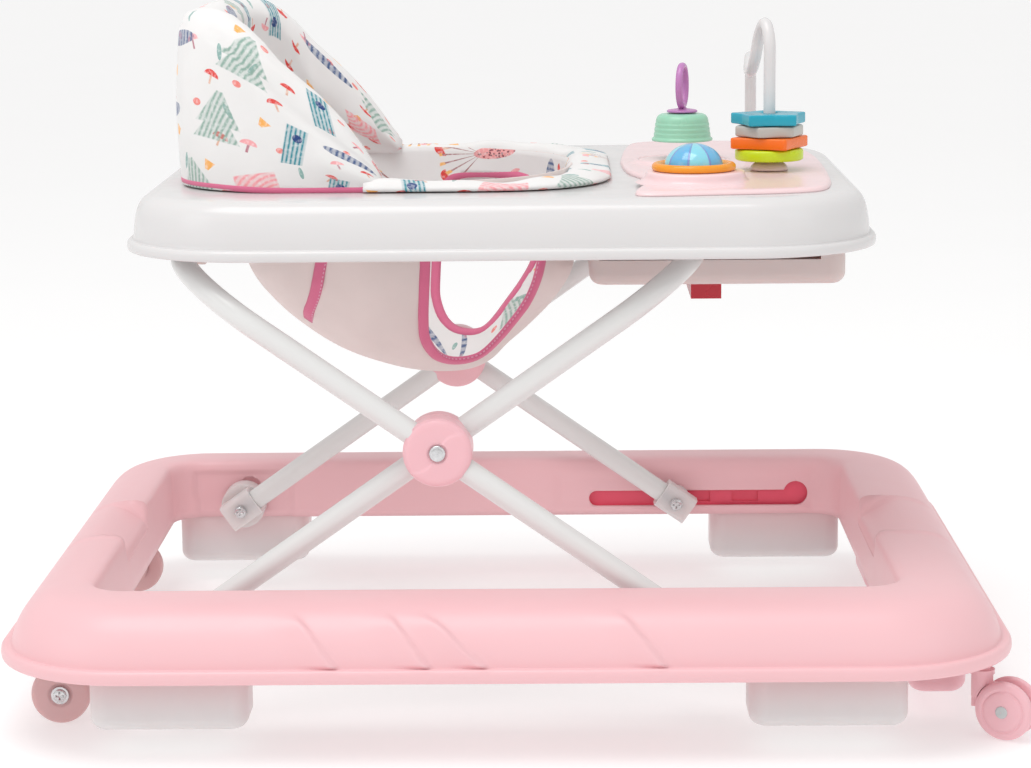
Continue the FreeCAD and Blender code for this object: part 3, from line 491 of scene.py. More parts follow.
def moulded_loop(name, outer, opening, section):
    """A skin around an opening; section holds ("out"|"in"|"mix", distance or share, height)."""
    rows = []
    for kind, amount, height in section:
        if kind == "out":
            flat, _ = loop(*outer, inset=amount)
        elif kind == "in":
            flat, _ = loop(*opening, inset=-amount)
        else:
            share, from_out, from_in = amount
            flat = loop(*outer, inset=from_out)[0] * share + loop(*opening, inset=-from_in)[0] * (1 - share)
        rows.append(np.column_stack([flat, np.full(len(flat), height)]))
    return skin(name, rows, across_closed=True, along_closed=True)


def rounded_section(points, times=2):
    """Softens the corners of a section given as steps of one kind."""
    kind = points[0][0]
    line = smooth_line([(a, h) for _, a, h in points], times)
    return [(kind, a, h) for a, h in line]


# %% [markdown]
# ## The base ring
# The ring is one large injection moulding, about 3 mm thick and open underneath. Its top is a
# broad crown that falls to a rolled lip. The long sides carry swept creases, both rails have
# a scooped hand grip, and shallow pockets in the inner walls stiffen them around the pivots.
# It is built as one skin so that the scoops and creases can be pressed into it by moving points.

# %% Ring skin
low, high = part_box("base_ring")
ring_outer = (low.x / mm, high.x / mm, high.y / mm, 95.0)
ring_opening = (-290.75, 262.25, 217.0, 24.0)
ring_section = (
    rounded_section([("in", 0, 55.8), ("in", 0.4, 66), ("in", 0.8, 78), ("in", 1.2, 90), ("in", 1.8, 98),
                     ("in", 4, 102), ("in", 9, 103.3)])
    + [("mix", (share, 48, 9), 103.3 + 0.25 * math.sin(share * math.pi)) for share in (0.25, 0.5, 0.75)]
    + rounded_section([("out", 48, 103.3), ("out", 38, 102.2), ("out", 28, 98.6), ("out", 20, 92.4),
                       ("out", 13.5, 83.5), ("out", 9.6, 74.5), ("out", 7.8, 68), ("out", 7.0, 65.2)], 2)
    + rounded_section([("out", 6.6, 64.8), ("out", 3.2, 65.6), ("out", 0.8, 64.6), ("out", 0, 61.5),
                       ("out", 0.3, 57.5), ("out", 1.6, 55.8), ("out", 4.5, 55.8)], 1)
    + rounded_section([("out", 7.5, 58), ("out", 10.5, 66), ("out", 13, 75), ("out", 20, 87),
                       ("out", 32, 97), ("out", 48, 99.8)], 1)
    + [("mix", (0.5, 48, 9), 100.0)]
    + rounded_section([("in", 9, 99.8), ("in", 4.6, 96), ("in", 4.2, 80), ("in", 3.4, 64),
                       ("in", 3, 55.8)], 1)
)
ring_skin = moulded_loop("ring_skin", ring_outer, ring_opening, ring_section)
print("ring points:", len(ring_skin.data.vertices))


# %% Creases, grips and pockets
def fade(value, start, end):
    """Smooth step."""
    t = min(max((value - start) / (end - start), 0.0), 1.0)
    return t * t * (3 - 2 * t)


def crease(x, z, top_x, foot_x, reach=30.0, rise=4.4):
    """A swept fold that starts high at top_x and ends low at foot_x."""
    drop = min(max((101 - z) / 37.0, 0.0), 1.0)
    line = top_x + (foot_x - top_x) * drop**0.75
    gap = x - line
    body = (1 + gap / reach) ** 2 if -reach < gap <= 0 else 1 - fade(gap, 0, 3.2) if gap > 0 else 0
    return rise * body * fade(drop, 0.02, 0.3) * (1 - fade(drop, 0.9, 1.0))


def press_ring(point):
    """Where a point of the ring ends up after the creases, grips and pockets are pressed in."""
    x, y, z = point
    side = 1 if y > 0 else -1
    if abs(y) > 236 and z > 62 and abs(x) < 240:
        push = sum(crease(x, z, a, b) for a, b in ((-156, -119), (-93, -57), (-72, -18), (62, 101)))
        lean = fade(z, 104, 70)
        y += side * push * (0.3 + 0.7 * lean)
        z += push * (1 - lean) * 0.9
    if abs(y) < 66 and z > 78:
        if x < -250:
            scoop = 13.0 * fade(x, -322, -288)
        else:
            scoop = 13.0 * fade(-x, -296, -259)
        ridge = 1.6 * fade(abs(y), 52, 59) * (1 - fade(abs(y), 60, 66)) * fade(z, 90, 100)
        z += ridge - scoop * (1 - fade(abs(y), 55, 58.5)) * fade(z, 80, 98)
    return x, y, z


def pocket(x, z, rear, front, bottom, top, soft=5.0):
    """1 inside a wall pocket, 0 outside it."""
    return (fade(x, rear, rear + soft) * (1 - fade(x, front - soft, front))
            * fade(z, bottom, bottom + soft) * (1 - fade(z, top - soft, top)))


for vertex in ring_skin.data.vertices:
    x, y, z = (c / mm for c in vertex.co)
    if 216.5 < abs(y) < 219.5 and z < 99.5:
        depth = 2.0 * pocket(x, z, -287, -192, 40, 95, 2.5) + 1.6 * pocket(x, z, 24, 250, 57, 93, 9)
        y += math.copysign(depth, y)
    vertex.co = Vector(press_ring((x, y, z))) * mm
print("creases and grips pressed")


# %% Slots and keyholes
def slot_outline(count=20):
    """The slot with a rounded rear end and a round keyhole in front, as (x, z) points."""
    half, hole, lift = 6.3, 10.0, 3.5
    rear, front, level = 61.6, 228.0, 69.2
    line = [(rear + half * math.cos(a), level + half * math.sin(a))
            for a in np.linspace(math.radians(270), math.radians(90), count)]
    start = math.degrees(math.asin((half - lift) / hole))
    line += [(front + hole * math.cos(math.radians(a)), level + lift + hole * math.sin(math.radians(a)))
             for a in np.linspace(180 - start, -100, count * 2)]
    return line


def prism(name, outline, low_y, high_y):
    """A cutter: an outline in the XZ plane between two y values."""
    rows = [[(x, y, z) for x, z in outline] for y in (low_y, high_y)]
    return skin(name, rows, capped=True)


def carve(piece, cutters):
    """Takes cutters away from a piece."""
    for cutter in cutters:
        change = piece.modifiers.new("carve", "BOOLEAN")
        change.object = cutter
        change.solver = "EXACT"
    bpy.context.view_layer.update()
    shape = piece.evaluated_get(bpy.context.evaluated_depsgraph_get())
    done = bpy.data.meshes.new_from_object(shape)
    piece.modifiers.clear()
    piece.data = done
    for cutter in cutters:
        bpy.data.objects.remove(cutter)
    return piece


round_hole = [(-228.75 + 10 * math.cos(a), 79.2 + 10 * math.sin(a))
              for a in np.linspace(0, 2 * math.pi, 40, endpoint=False)]
cutters = []
for side in (-1, 1):
    for outline in (slot_outline(), round_hole):
        ends = sorted((side * 214, side * 223.6))
        cutters.append(prism("cutter", outline, *ends))
carve(ring_skin, cutters)
finish_piece(ring_skin, "base", pink)
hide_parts("base_ring")
print("ring faces:", len(ring_skin.data.polygons))

# %% [markdown]
# ## The tray
# The tray is the same kind of moulding in white: a flat top, a deep rolled skirt and a thin lip.
# It is rebuilt the same way, because its glossy skirt shows every change of curve.

# %% Tray skin
low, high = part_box("tray_shell")
tray_outer = (low.x / mm, high.x / mm, high.y / mm, 92.0)
tray_opening = (-219.75, 44.25, 140.0, 85.0)
tray_section = (
    rounded_section([("in", 0, 329), ("in", 0.2, 350), ("in", 0.8, 362), ("in", 2.6, 366.6), ("in", 8, 368)])
    + [("mix", (share, 26, 8), 368.0) for share in (0.33, 0.66)]
    + rounded_section([("out", 26, 368), ("out", 18, 367.4), ("out", 11.5, 364), ("out", 7.8, 357.5),
                       ("out", 5.9, 349), ("out", 5.0, 341), ("out", 4.7, 336.2)])
    + rounded_section([("out", 4.3, 335.6), ("out", 2.2, 335.9), ("out", 0.5, 334.4), ("out", 0, 331.6),
                       ("out", 0.5, 328.4), ("out", 2.2, 328), ("out", 5.6, 328.6)], 1)
    + rounded_section([("out", 7.2, 333), ("out", 8.2, 345), ("out", 10, 355), ("out", 15, 362.6),
                       ("out", 26, 365)], 1)
    + [("mix", (0.5, 26, 8), 365.0)]
    + rounded_section([("in", 8, 365), ("in", 3.6, 362), ("in", 3.2, 350), ("in", 3, 328)], 1)
)
tray_skin = moulded_loop("tray_skin", tray_outer, tray_opening, tray_section)
finish_piece(tray_skin, "tray", white)
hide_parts("tray_shell")
print("tray faces:", len(tray_skin.data.polygons))


# %% [markdown]
# ## Printed cloth
# The seat is woven polyester printed with small woodland motifs in watercolour: trunks, pines,
# stumps, twigs, mushrooms and berries on white. The print is drawn with formulas in the cloth's
# own coordinates, in metres: the cloth is ruled into cells, each cell picks a motif at random,
# and circles, boxes and hatching make up the motif. Noise makes the paint look washed.

# %% Cells and strokes for the print
class Motifs:
    """Draws motifs in a ruled grid of cells on a finish."""

    def __init__(self, finish, chart, size, seed, lean):
        self.f = finish
        moved = finish.node("ShaderNodeVectorMath", chart, (1 / size, 1 / size, 0), (seed, seed * 1.7, 0),
                            operation="MULTIPLY_ADD").outputs[0]
        split = finish.node("ShaderNodeSeparateXYZ", moved)
        row = finish.sum("FLOOR", split.outputs[1])
        along = finish.sum("MULTIPLY_ADD", row, 0.37, split.outputs[0])
        column = finish.sum("FLOOR", along)
        cell = finish.node("ShaderNodeCombineXYZ", column, row, seed).outputs[0]
        dice = finish.node("ShaderNodeTexWhiteNoise", cell)
        self.choice = dice.outputs["Value"]
        rolls = finish.node("ShaderNodeSeparateColor", dice.outputs["Color"])
        x = finish.sum("SUBTRACT", finish.sum("SUBTRACT", along, column),
                       finish.sum("MULTIPLY_ADD", rolls.outputs[0], 0.22, 0.39))
        y = finish.sum("SUBTRACT", finish.sum("SUBTRACT", split.outputs[1], row),
                       finish.sum("MULTIPLY_ADD", rolls.outputs[1], 0.2, 0.4))
        angle = finish.sum("MULTIPLY", finish.sum("SUBTRACT", rolls.outputs[2], 0.5), lean)
        cosine, sine = finish.sum("COSINE", angle), finish.sum("SINE", angle)
        x, y = finish.sum("MULTIPLY", x, 0.9), finish.sum("MULTIPLY", y, 0.9)
        self.x = finish.sum("ADD", finish.sum("MULTIPLY", x, cosine), finish.sum("MULTIPLY", y, sine))
        self.y = finish.sum("SUBTRACT", finish.sum("MULTIPLY", y, cosine), finish.sum("MULTIPLY", x, sine))

    def oval(self, cx, cy, rx, ry, edge=0.05):
        """1 inside an oval."""
        f = self.f
        across = f.sum("DIVIDE", f.sum("SUBTRACT", self.x, cx), rx)
        up = f.sum("DIVIDE", f.sum("SUBTRACT", self.y, cy), ry)
        far = f.sum("ADD", f.sum("MULTIPLY", across, across), f.sum("MULTIPLY", up, up))
        return f.step(far, 1 + edge, 1 - edge)

    def block(self, cx, cy, rx, ry, taper=0.0):
        """1 inside a box whose width may shrink upwards."""
        f = self.f
        up = f.sum("SUBTRACT", self.y, cy)
        wide = f.sum("SUBTRACT", f.sum("ABSOLUTE", f.sum("SUBTRACT", self.x, cx)),
                     f.sum("MULTIPLY_ADD", up, -taper, rx))
        tall = f.sum("SUBTRACT", f.sum("ABSOLUTE", up), ry)
        return f.step(f.sum("MAXIMUM", wide, tall), 0.012, -0.012)

    def hatch(self, value, count, low=0.35):
        """Fine strokes across a value, from low to 1."""
        f = self.f
        wave = f.sum("SINE", f.sum("MULTIPLY", value, count))
        return f.node("ShaderNodeMapRange", wave, -0.6, 0.9, low, 1.0).outputs[0]

    def only(self, mask, start, end):
        """Keeps a mask in the cells whose number is between start and end."""
        f = self.f
        above = f.sum("GREATER_THAN", self.choice, start)
        keep = f.sum("MULTIPLY", above, f.sum("LESS_THAN", self.choice, end))
        return f.sum("MULTIPLY", mask, keep)


def paint(finish, under, mask, colour, wash):
    """Lays a washed colour over what is there."""
    thin = tuple(c * 0.55 + 0.45 for c in colour)
    return finish.blend(mask, under, finish.blend(wash, colour, thin))


def woodland(finish, chart):
    """The whole print as one colour."""
    wash = finish.step(finish.noise(420, 4), 0.42, 0.78)
    ground = finish.blend(finish.noise(25, 3), (0.80, 0.785, 0.775), (0.86, 0.85, 0.845))
    small = Motifs(finish, chart, 0.0215, 3.3, 1.2)
    cap = finish.sum("MULTIPLY", small.oval(0, 0.0, 0.24, 0.2), finish.step(small.y, 0.0, 0.03))
    stem = small.block(0.0, -0.12, 0.035, 0.13)
    cup = small.block(0.0, 0.0, 0.12, 0.14, -0.45)
    leaf = small.oval(0.0, 0.0, 0.07, 0.26)
    berry = small.oval(0.05, 0.05, 0.12, 0.11)
    for mask, start, end, colour in (
            (stem, 0.0, 0.2, (0.75, 0.45, 0.33)), (cap, 0.0, 0.2, (0.75, 0.07, 0.06)),
            (cup, 0.2, 0.34, (0.93, 0.45, 0.12)), (leaf, 0.34, 0.46, (0.28, 0.45, 0.42)),
            (berry, 0.46, 0.6, (0.85, 0.25, 0.22)), (stem, 0.6, 0.72, (0.5, 0.2, 0.25)),
            (cap, 0.6, 0.72, (0.9, 0.4, 0.42))):
        ground = paint(finish, ground, small.only(mask, start, end), colour, wash)
    big = Motifs(finish, chart, 0.051, 7.9, 0.5)
    trunk = finish.sum("MULTIPLY", big.block(0, -0.08, 0.14, 0.38), big.hatch(big.x, 110))
    knot = big.oval(-0.02, 0.1, 0.065, 0.075)
    pine = finish.sum("MAXIMUM", big.block(0, 0.16, 0.16, 0.22, 0.55), big.block(0, -0.1, 0.2, 0.16, 0.6))
    pine = finish.sum("MULTIPLY", pine, big.hatch(finish.sum("MULTIPLY_ADD", big.y, 0.3, big.x), 95))
    distance = finish.sum("SQRT", finish.sum("ADD", finish.sum("POWER", finish.sum("ADD", big.x, 0.2), 2.0),
                                             finish.sum("POWER", finish.sum("ADD", big.y, 0.2), 2.0)))
    stump = finish.sum("MULTIPLY", big.block(0.03, 0.0, 0.24, 0.24), big.hatch(distance, 85, 0.45))
    body = big.oval(0, -0.22, 0.09, 0.24)
    spots = finish.node("ShaderNodeTexVoronoi", chart)
    spots.inputs["Scale"].default_value = 560
    dots = finish.step(spots.outputs["Distance"], 0.42, 0.3)
    turn = finish.sum("ARCTAN2", big.x, finish.sum("ADD", big.y, 0.06))
    reach = finish.sum("SQRT", finish.sum("ADD", finish.sum("POWER", big.x, 2.0),
                                          finish.sum("POWER", finish.sum("ADD", big.y, 0.06), 2.0)))
    spoke = finish.sum("FRACT", finish.sum("MULTIPLY", turn, 3.3))
    ray = finish.sum("ABSOLUTE", finish.sum("SUBTRACT", spoke, 0.5))
    fan = finish.sum("MULTIPLY", finish.step(reach, 0.47, 0.45),
                     finish.step(finish.sum("ABSOLUTE", turn), 0.95, 0.9))
    twigs = finish.sum("MULTIPLY", finish.step(ray, 0.12, 0.06), fan)
    tips = finish.sum("MULTIPLY", finish.step(ray, 0.2, 0.12),
                      finish.sum("MULTIPLY", fan, finish.step(reach, 0.39, 0.4)))
    feather = finish.sum("MULTIPLY", big.oval(0, 0.02, 0.38, 0.1), big.hatch(big.x, 75, 0.5))
    for mask, start, end, colour in (
            (trunk, 0.0, 0.2, (0.03, 0.27, 0.34)), (knot, 0.0, 0.2, (0.03, 0.07, 0.22)),
            (pine, 0.2, 0.4, (0.28, 0.42, 0.36)), (stump, 0.4, 0.57, (0.90, 0.35, 0.38)),
            (body, 0.57, 0.77, (0.85, 0.36, 0.36)),
            (finish.sum("MULTIPLY", body, dots), 0.57, 0.77, (0.18, 0.03, 0.05)),
            (twigs, 0.57, 0.77, (0.42, 0.2, 0.2)), (tips, 0.57, 0.77, (0.93, 0.5, 0.15)),
            (feather, 0.77, 1.01, (0.07, 0.12, 0.26))):
        ground = paint(finish, ground, big.only(mask, start, end), colour, wash)
    return ground


def weave(finish, chart):
    """Plain weave: threads about half a millimetre apart, and soft creases."""
    split = finish.node("ShaderNodeSeparateXYZ", chart)
    warp = finish.sum("SINE", finish.sum("MULTIPLY", split.outputs[0], 11000.0))
    weft = finish.sum("SINE", finish.sum("MULTIPLY", split.outputs[1], 11000.0))
    finish.bump(finish.sum("MULTIPLY", warp, weft), 0.35, 0.00012)
    finish.bump(finish.noise(38, 4), 0.5, 0.0016)


def cloth(name, printed, colour=(0.80, 0.70, 0.675)):
    """A seat cloth, printed or plain."""
    finish = Finish(name, colour, 0.86)
    chart = finish.node("ShaderNodeTexCoord").outputs["UV"]
    if printed:
        finish.colour_from(woodland(finish, chart))
    else:
        shade = finish.step(finish.noise(12, 4), 0.3, 0.7)
        finish.colour_from(finish.blend(shade, tuple(c * 0.95 for c in colour),
                                        tuple(c * 1.04 for c in colour)))
    finish.surface.inputs["Sheen Weight"].default_value = 0.15
    finish.surface.inputs["Sheen Roughness"].default_value = 0.5
    finish.surface.inputs["Specular IOR Level"].default_value = 0.25
    finish.surface.inputs["Subsurface Weight"].default_value = 0.12
    finish.surface.inputs["Subsurface Radius"].default_value = (0.006, 0.005, 0.005)
    weave(finish, chart)
    return finish.material


def tape(name, colour):
    """Folded twill tape with a row of stitches near its edge."""
    finish = Finish(name, colour, 0.8)
    chart = finish.node("ShaderNodeTexCoord").outputs["UV"]
    split = finish.node("ShaderNodeSeparateXYZ", chart)
    slant = finish.sum("ADD", split.outputs[0], split.outputs[1])
    twill = finish.sum("SINE", finish.sum("MULTIPLY", slant, 6500.0))
    stitch = finish.sum("MULTIPLY",
                        finish.step(finish.sum("ABSOLUTE", finish.sum("SUBTRACT", split.outputs[1],
                                                                      0.0022)), 0.0006, 0.0003),
                        finish.step(finish.sum("SINE", finish.sum("MULTIPLY", split.outputs[0], 1900.0)),
                                    -0.2, 0.2))
    base = finish.blend(finish.step(twill, -0.5, 0.8), tuple(c * 0.88 for c in colour), colour)
    finish.colour_from(finish.blend(stitch, base, (0.80, 0.42, 0.55)))
    finish.surface.inputs["Sheen Weight"].default_value = 0.2
    finish.bump(twill, 0.3, 0.0002)
    finish.bump(stitch, 0.6, 0.0004)
    return finish.material


print_cloth = cloth("printed_cloth", True)
plain_cloth = cloth("seat_cloth", False)
binding_pink = tape("binding_tape", (0.76, 0.17, 0.31))
print("cloth finishes ready")


# %% [markdown]
# ## The padded seat back
# The back is a wadded band that wraps the rear half of the opening: a flat outer panel, a seam,
# and a fat soft roll above it that turns over to the inside. Its top falls away towards the
# front on both sides. It is lofted from sections that stand square to the band's path, and the
# roll, the seam's valley and small creases are part of each section.

# %% Seat back
def band_path(rear, tip, half, corner, count):
    """A U-shaped path from the right tip round the rear to the left tip."""
    line = [(tip, -half), (rear + corner, -half)]
    line += [(rear + corner + corner * math.cos(a), -half + corner + corner * math.sin(a))
             for a in np.radians(np.linspace(268, 180, 14))]
    line += [(rear, 0.0)]
    line += [(x, -y) for x, y in reversed(line[:-1])]
    return resampled(line, count)


def band_normals(path, towards):
    """Outward directions of a path in the XY plane, away from a point."""
    tangent = directions(path, False)
    away = np.column_stack([tangent[:, 1], -tangent[:, 0]])
    middle = path[len(path) // 2] - np.asarray(towards)
    return away if away[len(path) // 2] @ middle > 0 else -away


top_curve = np.array([(-240, 493.5), (-222, 493.5), (-209, 491), (-194, 484), (-177, 473), (-155, 453),
                      (-133, 433), (-117, 415), (-106, 400), (-98, 388), (-92, 380)])
seam_curve = np.array([(-240, 482), (-224, 481), (-205, 474), (-183, 453), (-162, 432), (-143, 415),
                       (-117, 396), (-100, 385), (-92, 378)])
back_rows = []
back_line = band_path(-238.0, -92.0, 150.0, 74.0, 150)
back_away = band_normals(back_line, (0, 0))
run = lengths(back_line, False)
for spot, away, s in zip(back_line, back_away, run):
    top = np.interp(spot[0], *top_curve.T) + 0.8 * math.sin(s * 0.045 + 1.0)
    seam = min(np.interp(spot[0], *seam_curve.T) + 1.0 * math.sin(s * 0.06), top - 3)
    swell = 1.5 * math.sin(s * 0.05) + 0.7 * math.sin(s * 0.17 + 2)
    to_end = min(s, run[-1] - s)
    thick = 0.35 + 0.65 * math.sqrt(1 - (1 - min(to_end / 16, 1)) ** 2)
    foot = 368.8
    middle = (foot + seam) / 2
    rise = top - seam
    section = [(1, foot), (-1.5, foot + 4), (-2.5 - swell, middle), (-0.5, seam - 5), (1.4, seam - 0.8),
               (2.6, seam + 0.8), (2.2, seam + 0.3 * rise), (5, seam + 0.72 * rise), (11, top - 1.4),
               (18, top),
               (27, top - 4), (33 + swell, top - 0.5 * rise - 6), (33, max(seam - 8, foot + 4)),
               (28, max(middle - 4, foot + 3)), (25, foot + 2), (22, foot)]
    section = [(14 + (d - 14) * thick, foot + (z - foot) * (0.9 + 0.1 * thick)) for d, z in section]
    section = spline(section, 60, closed=True)
    back_rows.append([(spot[0] - away[0] * d, spot[1] - away[1] * d, z) for d, z in section])
seat_back = skin("seat_back_cover", back_rows, capped=True)
finish_piece(seat_back, "tray", print_cloth)
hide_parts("seat_back")
print("seat back band length:", round(run[-1]), "mm")


# %% [markdown]
# ## The padded collar
# The front half of the opening has a lower wadded collar. Its inner edge turns down into the
# opening as a flap, where the hanging seat is sewn on. A band with a roll on top and a thin
# apron inside gives both at once.

# %% Collar
collar_line = band_path(-56.0, 104.0, 152.0, 80.0, 120) * np.array([-1, 1])
collar_away = band_normals(collar_line, (-100, 0))
collar_run = lengths(collar_line, False)
collar_rows = []
for spot, away, s in zip(collar_line, collar_away, collar_run):
    swell = 1.2 * math.sin(s * 0.043 + 0.6) + 0.8 * math.sin(s * 0.11)
    spread = 5.0 + 7.0 * fade(spot[0], -20, 45)
    section = [(0.5 - spread, 368.9), (-1.5 - spread, 369.8), (-1 - spread, 371.8),
               (3 - 0.6 * spread, 374.2 + swell),
               (8 - 0.2 * spread, 375.4 + swell), (14, 374 + swell), (18, 370.5), (19.3, 365), (18, 356),
               (17.2, 338),
               (15, 338), (14.6, 358), (13.6, 366.5), (9 - 0.5 * spread, 369)]
    section = spline(section, 44, closed=True)
    collar_rows.append([(spot[0] - away[0] * d, spot[1] - away[1] * d, z) for d, z in section])
collar = skin("seat_collar_cover", collar_rows, capped=True)
finish_piece(collar, "tray", print_cloth)
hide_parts("seat_collar")
print("collar length:", round(collar_run[-1]), "mm")


# %% [markdown]
# ## Piping
# A pink piped edge shows along the foot of the seat back, most at its rear corners.

# %% Piping along the foot of the back
piping_line = [(x - a[0] * 1.0, y - a[1] * 1.0, 370.2 + 2.2 * fade(-x, 150, 225))
               for (x, y), a in zip(back_line, back_away)]
piping = bead("seat_back_piping", piping_line, [(a[0], a[1], 0) for a in back_away], round_section(3.0))
finish_piece(piping, "tray", binding_pink)


# %% [markdown]
# ## The hanging seat
# The child sits in a bag of plain cloth that hangs from the opening. It is deepest between the
# legs and has a bound hole for each leg. The bag is a shell through oval sections that shrink
# downwards. The holes are cut with one smooth outline, so the tape can follow the same line.

# %% Bag shape
bag_stages = np.array([(373.0, -214.0, 42.5, 133.0), (340.0, -210.0, 42.5, 130.0),
                       (300.0, -199.0, 42.0, 123.0),
                       (275.0, -181.0, 29.0, 113.0), (255.0, -158.0, 11.0, 98.0),
                       (240.0, -134.0, -6.0, 80.0),
                       (229.0, -106.0, -17.0, 60.0), (222.5, -83.0, -28.0, 38.0),
                       (219.6, -62.0, -40.0, 14.0)])


def bag_at(height):
    """The bag's rear, front and half width at a height."""
    levels = bag_stages[::-1, 0]
    return [float(np.interp(height, levels, bag_stages[::-1, k])) for k in (1, 2, 3)]


def bag_side(x, z):
    """How far from the middle the bag's cloth is, at x and z."""
    rear, front, half = bag_at(z)
    across = abs((x - (rear + front) / 2) / ((front - rear) / 2))
    return half * max(1 - min(across, 1) ** 2.2, 0) ** (1 / 2.2)


leg_outline = spline([(-63.5, 312), (-65.8, 274), (-65, 256), (-57.4, 241), (-43.7, 235), (-25, 239),
                      (-4.4, 262),
                      (11, 285), (19, 311), (20, 338), (4, 352), (-46, 352), (-62, 338)], 90, closed=True)


# %% [markdown]
# The cloth is cut flat before it is sewn, and its cut size follows from the bag's dimensions
# alone: one run down the rear, under and up the front, one run across, and the area as bands
# between the ovals, less the two leg holes. It is worked out here, before the bag is shaped, so
# that the finished cloth can be held against it.

# %% Flat cut of the bag
def oval_round(rear, front, half):
    """How far it is round an oval."""
    a, b = (front - rear) / 2, half
    return math.pi * (3 * (a + b) - math.sqrt((3 * a + b) * (a + 3 * b)))


cut_area, runs = 0.0, np.zeros(3)
for upper, lower in zip(bag_stages, bag_stages[1:]):
    slants = np.array([math.dist((upper[0], upper[k]), (lower[0], lower[k])) for k in (1, 2, 3)])
    runs += slants
    cut_area += (oval_round(*upper[1:]) + oval_round(*lower[1:])) / 2 * slants.mean()
low_rear, low_front, low_half = bag_stages[-1, 1:]
cut_area += math.pi * (low_front - low_rear) / 2 * low_half
x, z = leg_outline[:, 0], leg_outline[:, 1]
leg_hole = abs(np.dot(x, np.roll(z, -1)) - np.dot(z, np.roll(x, -1))) / 2
cut_area = float(cut_area - 2 * leg_hole) * mm * mm

# %% Bag skin
smooth_stages = spline(bag_stages, 70)
bag_rows = []
for height, rear, front, half in smooth_stages:
    turns = np.linspace(0, 2 * math.pi, 180, endpoint=False)
    ring = []
    for t in turns:
        c, s = math.cos(t), math.sin(t)
        c, s = math.copysign(abs(c) ** (2 / 2.2), c), math.copysign(abs(s) ** (2 / 2.2), s)
        sag = 0.8 * math.sin(5 * t + height * 0.05) * fade(height, 225, 260)
        ring.append(((front + rear) / 2 + c * ((front - rear) / 2 + sag), s * (half + sag), height))
    bag_rows.append(ring)
bag_rows.append([((bag_stages[-1, 1] + bag_stages[-1, 2]) / 2 + 0.4 * math.cos(t), 0.4 * math.sin(t),
                  219.2) for t in turns])
sling = skin("sling_cloth", bag_rows)
thickness = sling.modifiers.new("thickness", "SOLIDIFY")
thickness.thickness = 1.6 * mm
thickness.offset = -1
thickness.material_offset = 1
thickness.material_offset_rim = 0
sling.data.materials.append(plain_cloth)
sling.data.materials.append(print_cloth)
carve(sling, [prism("cutter", leg_outline, *sorted((side * 38, side * 190))) for side in (-1, 1)])
made_area = sum(face.area for face in sling.data.polygons) / 2
for face in sling.data.polygons:
    face.use_smooth = True
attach(sling, "tray")
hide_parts("seat_sling")
print("cloth as shaped:", round(made_area, 4), "m2, flat cut:", round(cut_area, 4), "m2")


# %% Tape on the bag
def on_bag(x, z, side, lift=0.8):
    """A point on the bag's outside, and the outward direction there."""
    y = bag_side(x, z)
    here = np.array((x, y, z))
    dx = np.array((1.0, bag_side(x + 1, z) - y, 0))
    dz = np.array((0, bag_side(x, z + 1) - y, 1.0))
    away = np.cross(dz, dx)
    away /= np.linalg.norm(away)
    if away[1] < 0:
        away = -away
    here = here + away * lift
    return here * (1, side, 1), away * (1, side, 1)


tape_pieces = []
for side, word in ((1, "left"), (-1, "right")):
    edge = [on_bag(x, z, side, 0.3) for x, z in leg_outline]
    binding = bead(f"leg_binding_{word}", [e[0] for e in edge], [e[1] for e in edge],
                   [(-1.9, -3.6), (0.9, -3.9), (1.8, -2.2), (1.9, 1.8), (1.2, 3.6), (-1.9, 3.6),
                    (-2.6, 0)], closed=True)
    finish_piece(binding, "tray", binding_pink)
    strip_line = spline([(-132, 340), (-137.5, 314), (-143, 291), (-149, 276), (-150.5, 268)], 40)
    strip = [on_bag(x, z, side, 0.2) for x, z in strip_line]
    band = bead(f"side_strip_{word}", [e[0] for e in strip], [e[1] for e in strip],
                [(-0.6, -4.4), (1.0, -4.3), (1.5, -3.0), (1.3, 3.2), (0.8, 4.4), (-0.6, 4.4)])
    finish_piece(band, "tray", binding_pink)
    tape_pieces += [binding, band]


# %% [markdown]
# ## The toy panel
# One thin-walled pink moulding covers the tray's front: a lobed plate that swells into a low
# hill, with a round stand for the dome and another for the bell. The plate is a stack of
# shrinking outlines whose heights follow the hill; the stands are turned and flare into it.

# %% Toy panel
panel_outline = spline([(84, -183), (87, -160), (94, -120), (91, -80), (82, -40), (78.5, 20), (80, 70),
                        (84, 130),
                        (92, 178), (118, 192), (170, 190), (204, 180), (220, 140), (227, 70), (228, 0),
                        (226, -70), (222, -130), (212, -166), (186, -180), (140, -187), (108, -191),
                        (91, -191)], 260, closed=True)
panel_heart = np.array((152.0, 0.0))


def hill(x, y):
    """Height of the panel's swelling."""
    far = math.hypot((x - 176) / 66, (y + 42) / 128)
    return 1.4 * (1 - fade(far, 0.5, 1.0))


panel_rows = []
for share, height in ((1.0, 368.1), (1.0, 368.9), (0.994, 370.2), (0.984, 371.0), (0.965, 371.4)) + tuple(
        (s, 371.5) for s in np.linspace(0.93, 0.02, 46)):
    flat = panel_heart + (panel_outline - panel_heart) * share
    panel_rows.append([(x, y, height + (hill(x, y) if share < 0.97 else 0)) for x, y in flat])
panel_plate = skin("toy_panel_plate", panel_rows, capped=True)
finish_piece(panel_plate, "tray", pink_panel)
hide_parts("toy_panel")
dome_spot = joint_place("dome_spin")
bell_spot = joint_place("knob_turn")
dome_stand = lathe("dome_stand", [(42, 370.9), (37.6, 372.2), (35.6, 374.2), (34.8, 377.8), (33.8, 378.8),
                                  (30, 379.2), (0.2, 379.2)],
                   (dome_spot[0] + 1, dome_spot[1], 0))
finish_piece(dome_stand, "tray", pink_panel)
bell_top = 387.4
bell_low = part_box("bell")[0].z / mm
stand_top = min(bell_low, bell_top) - max(joint("bell_press")["range_m"]) / mm - 0.5
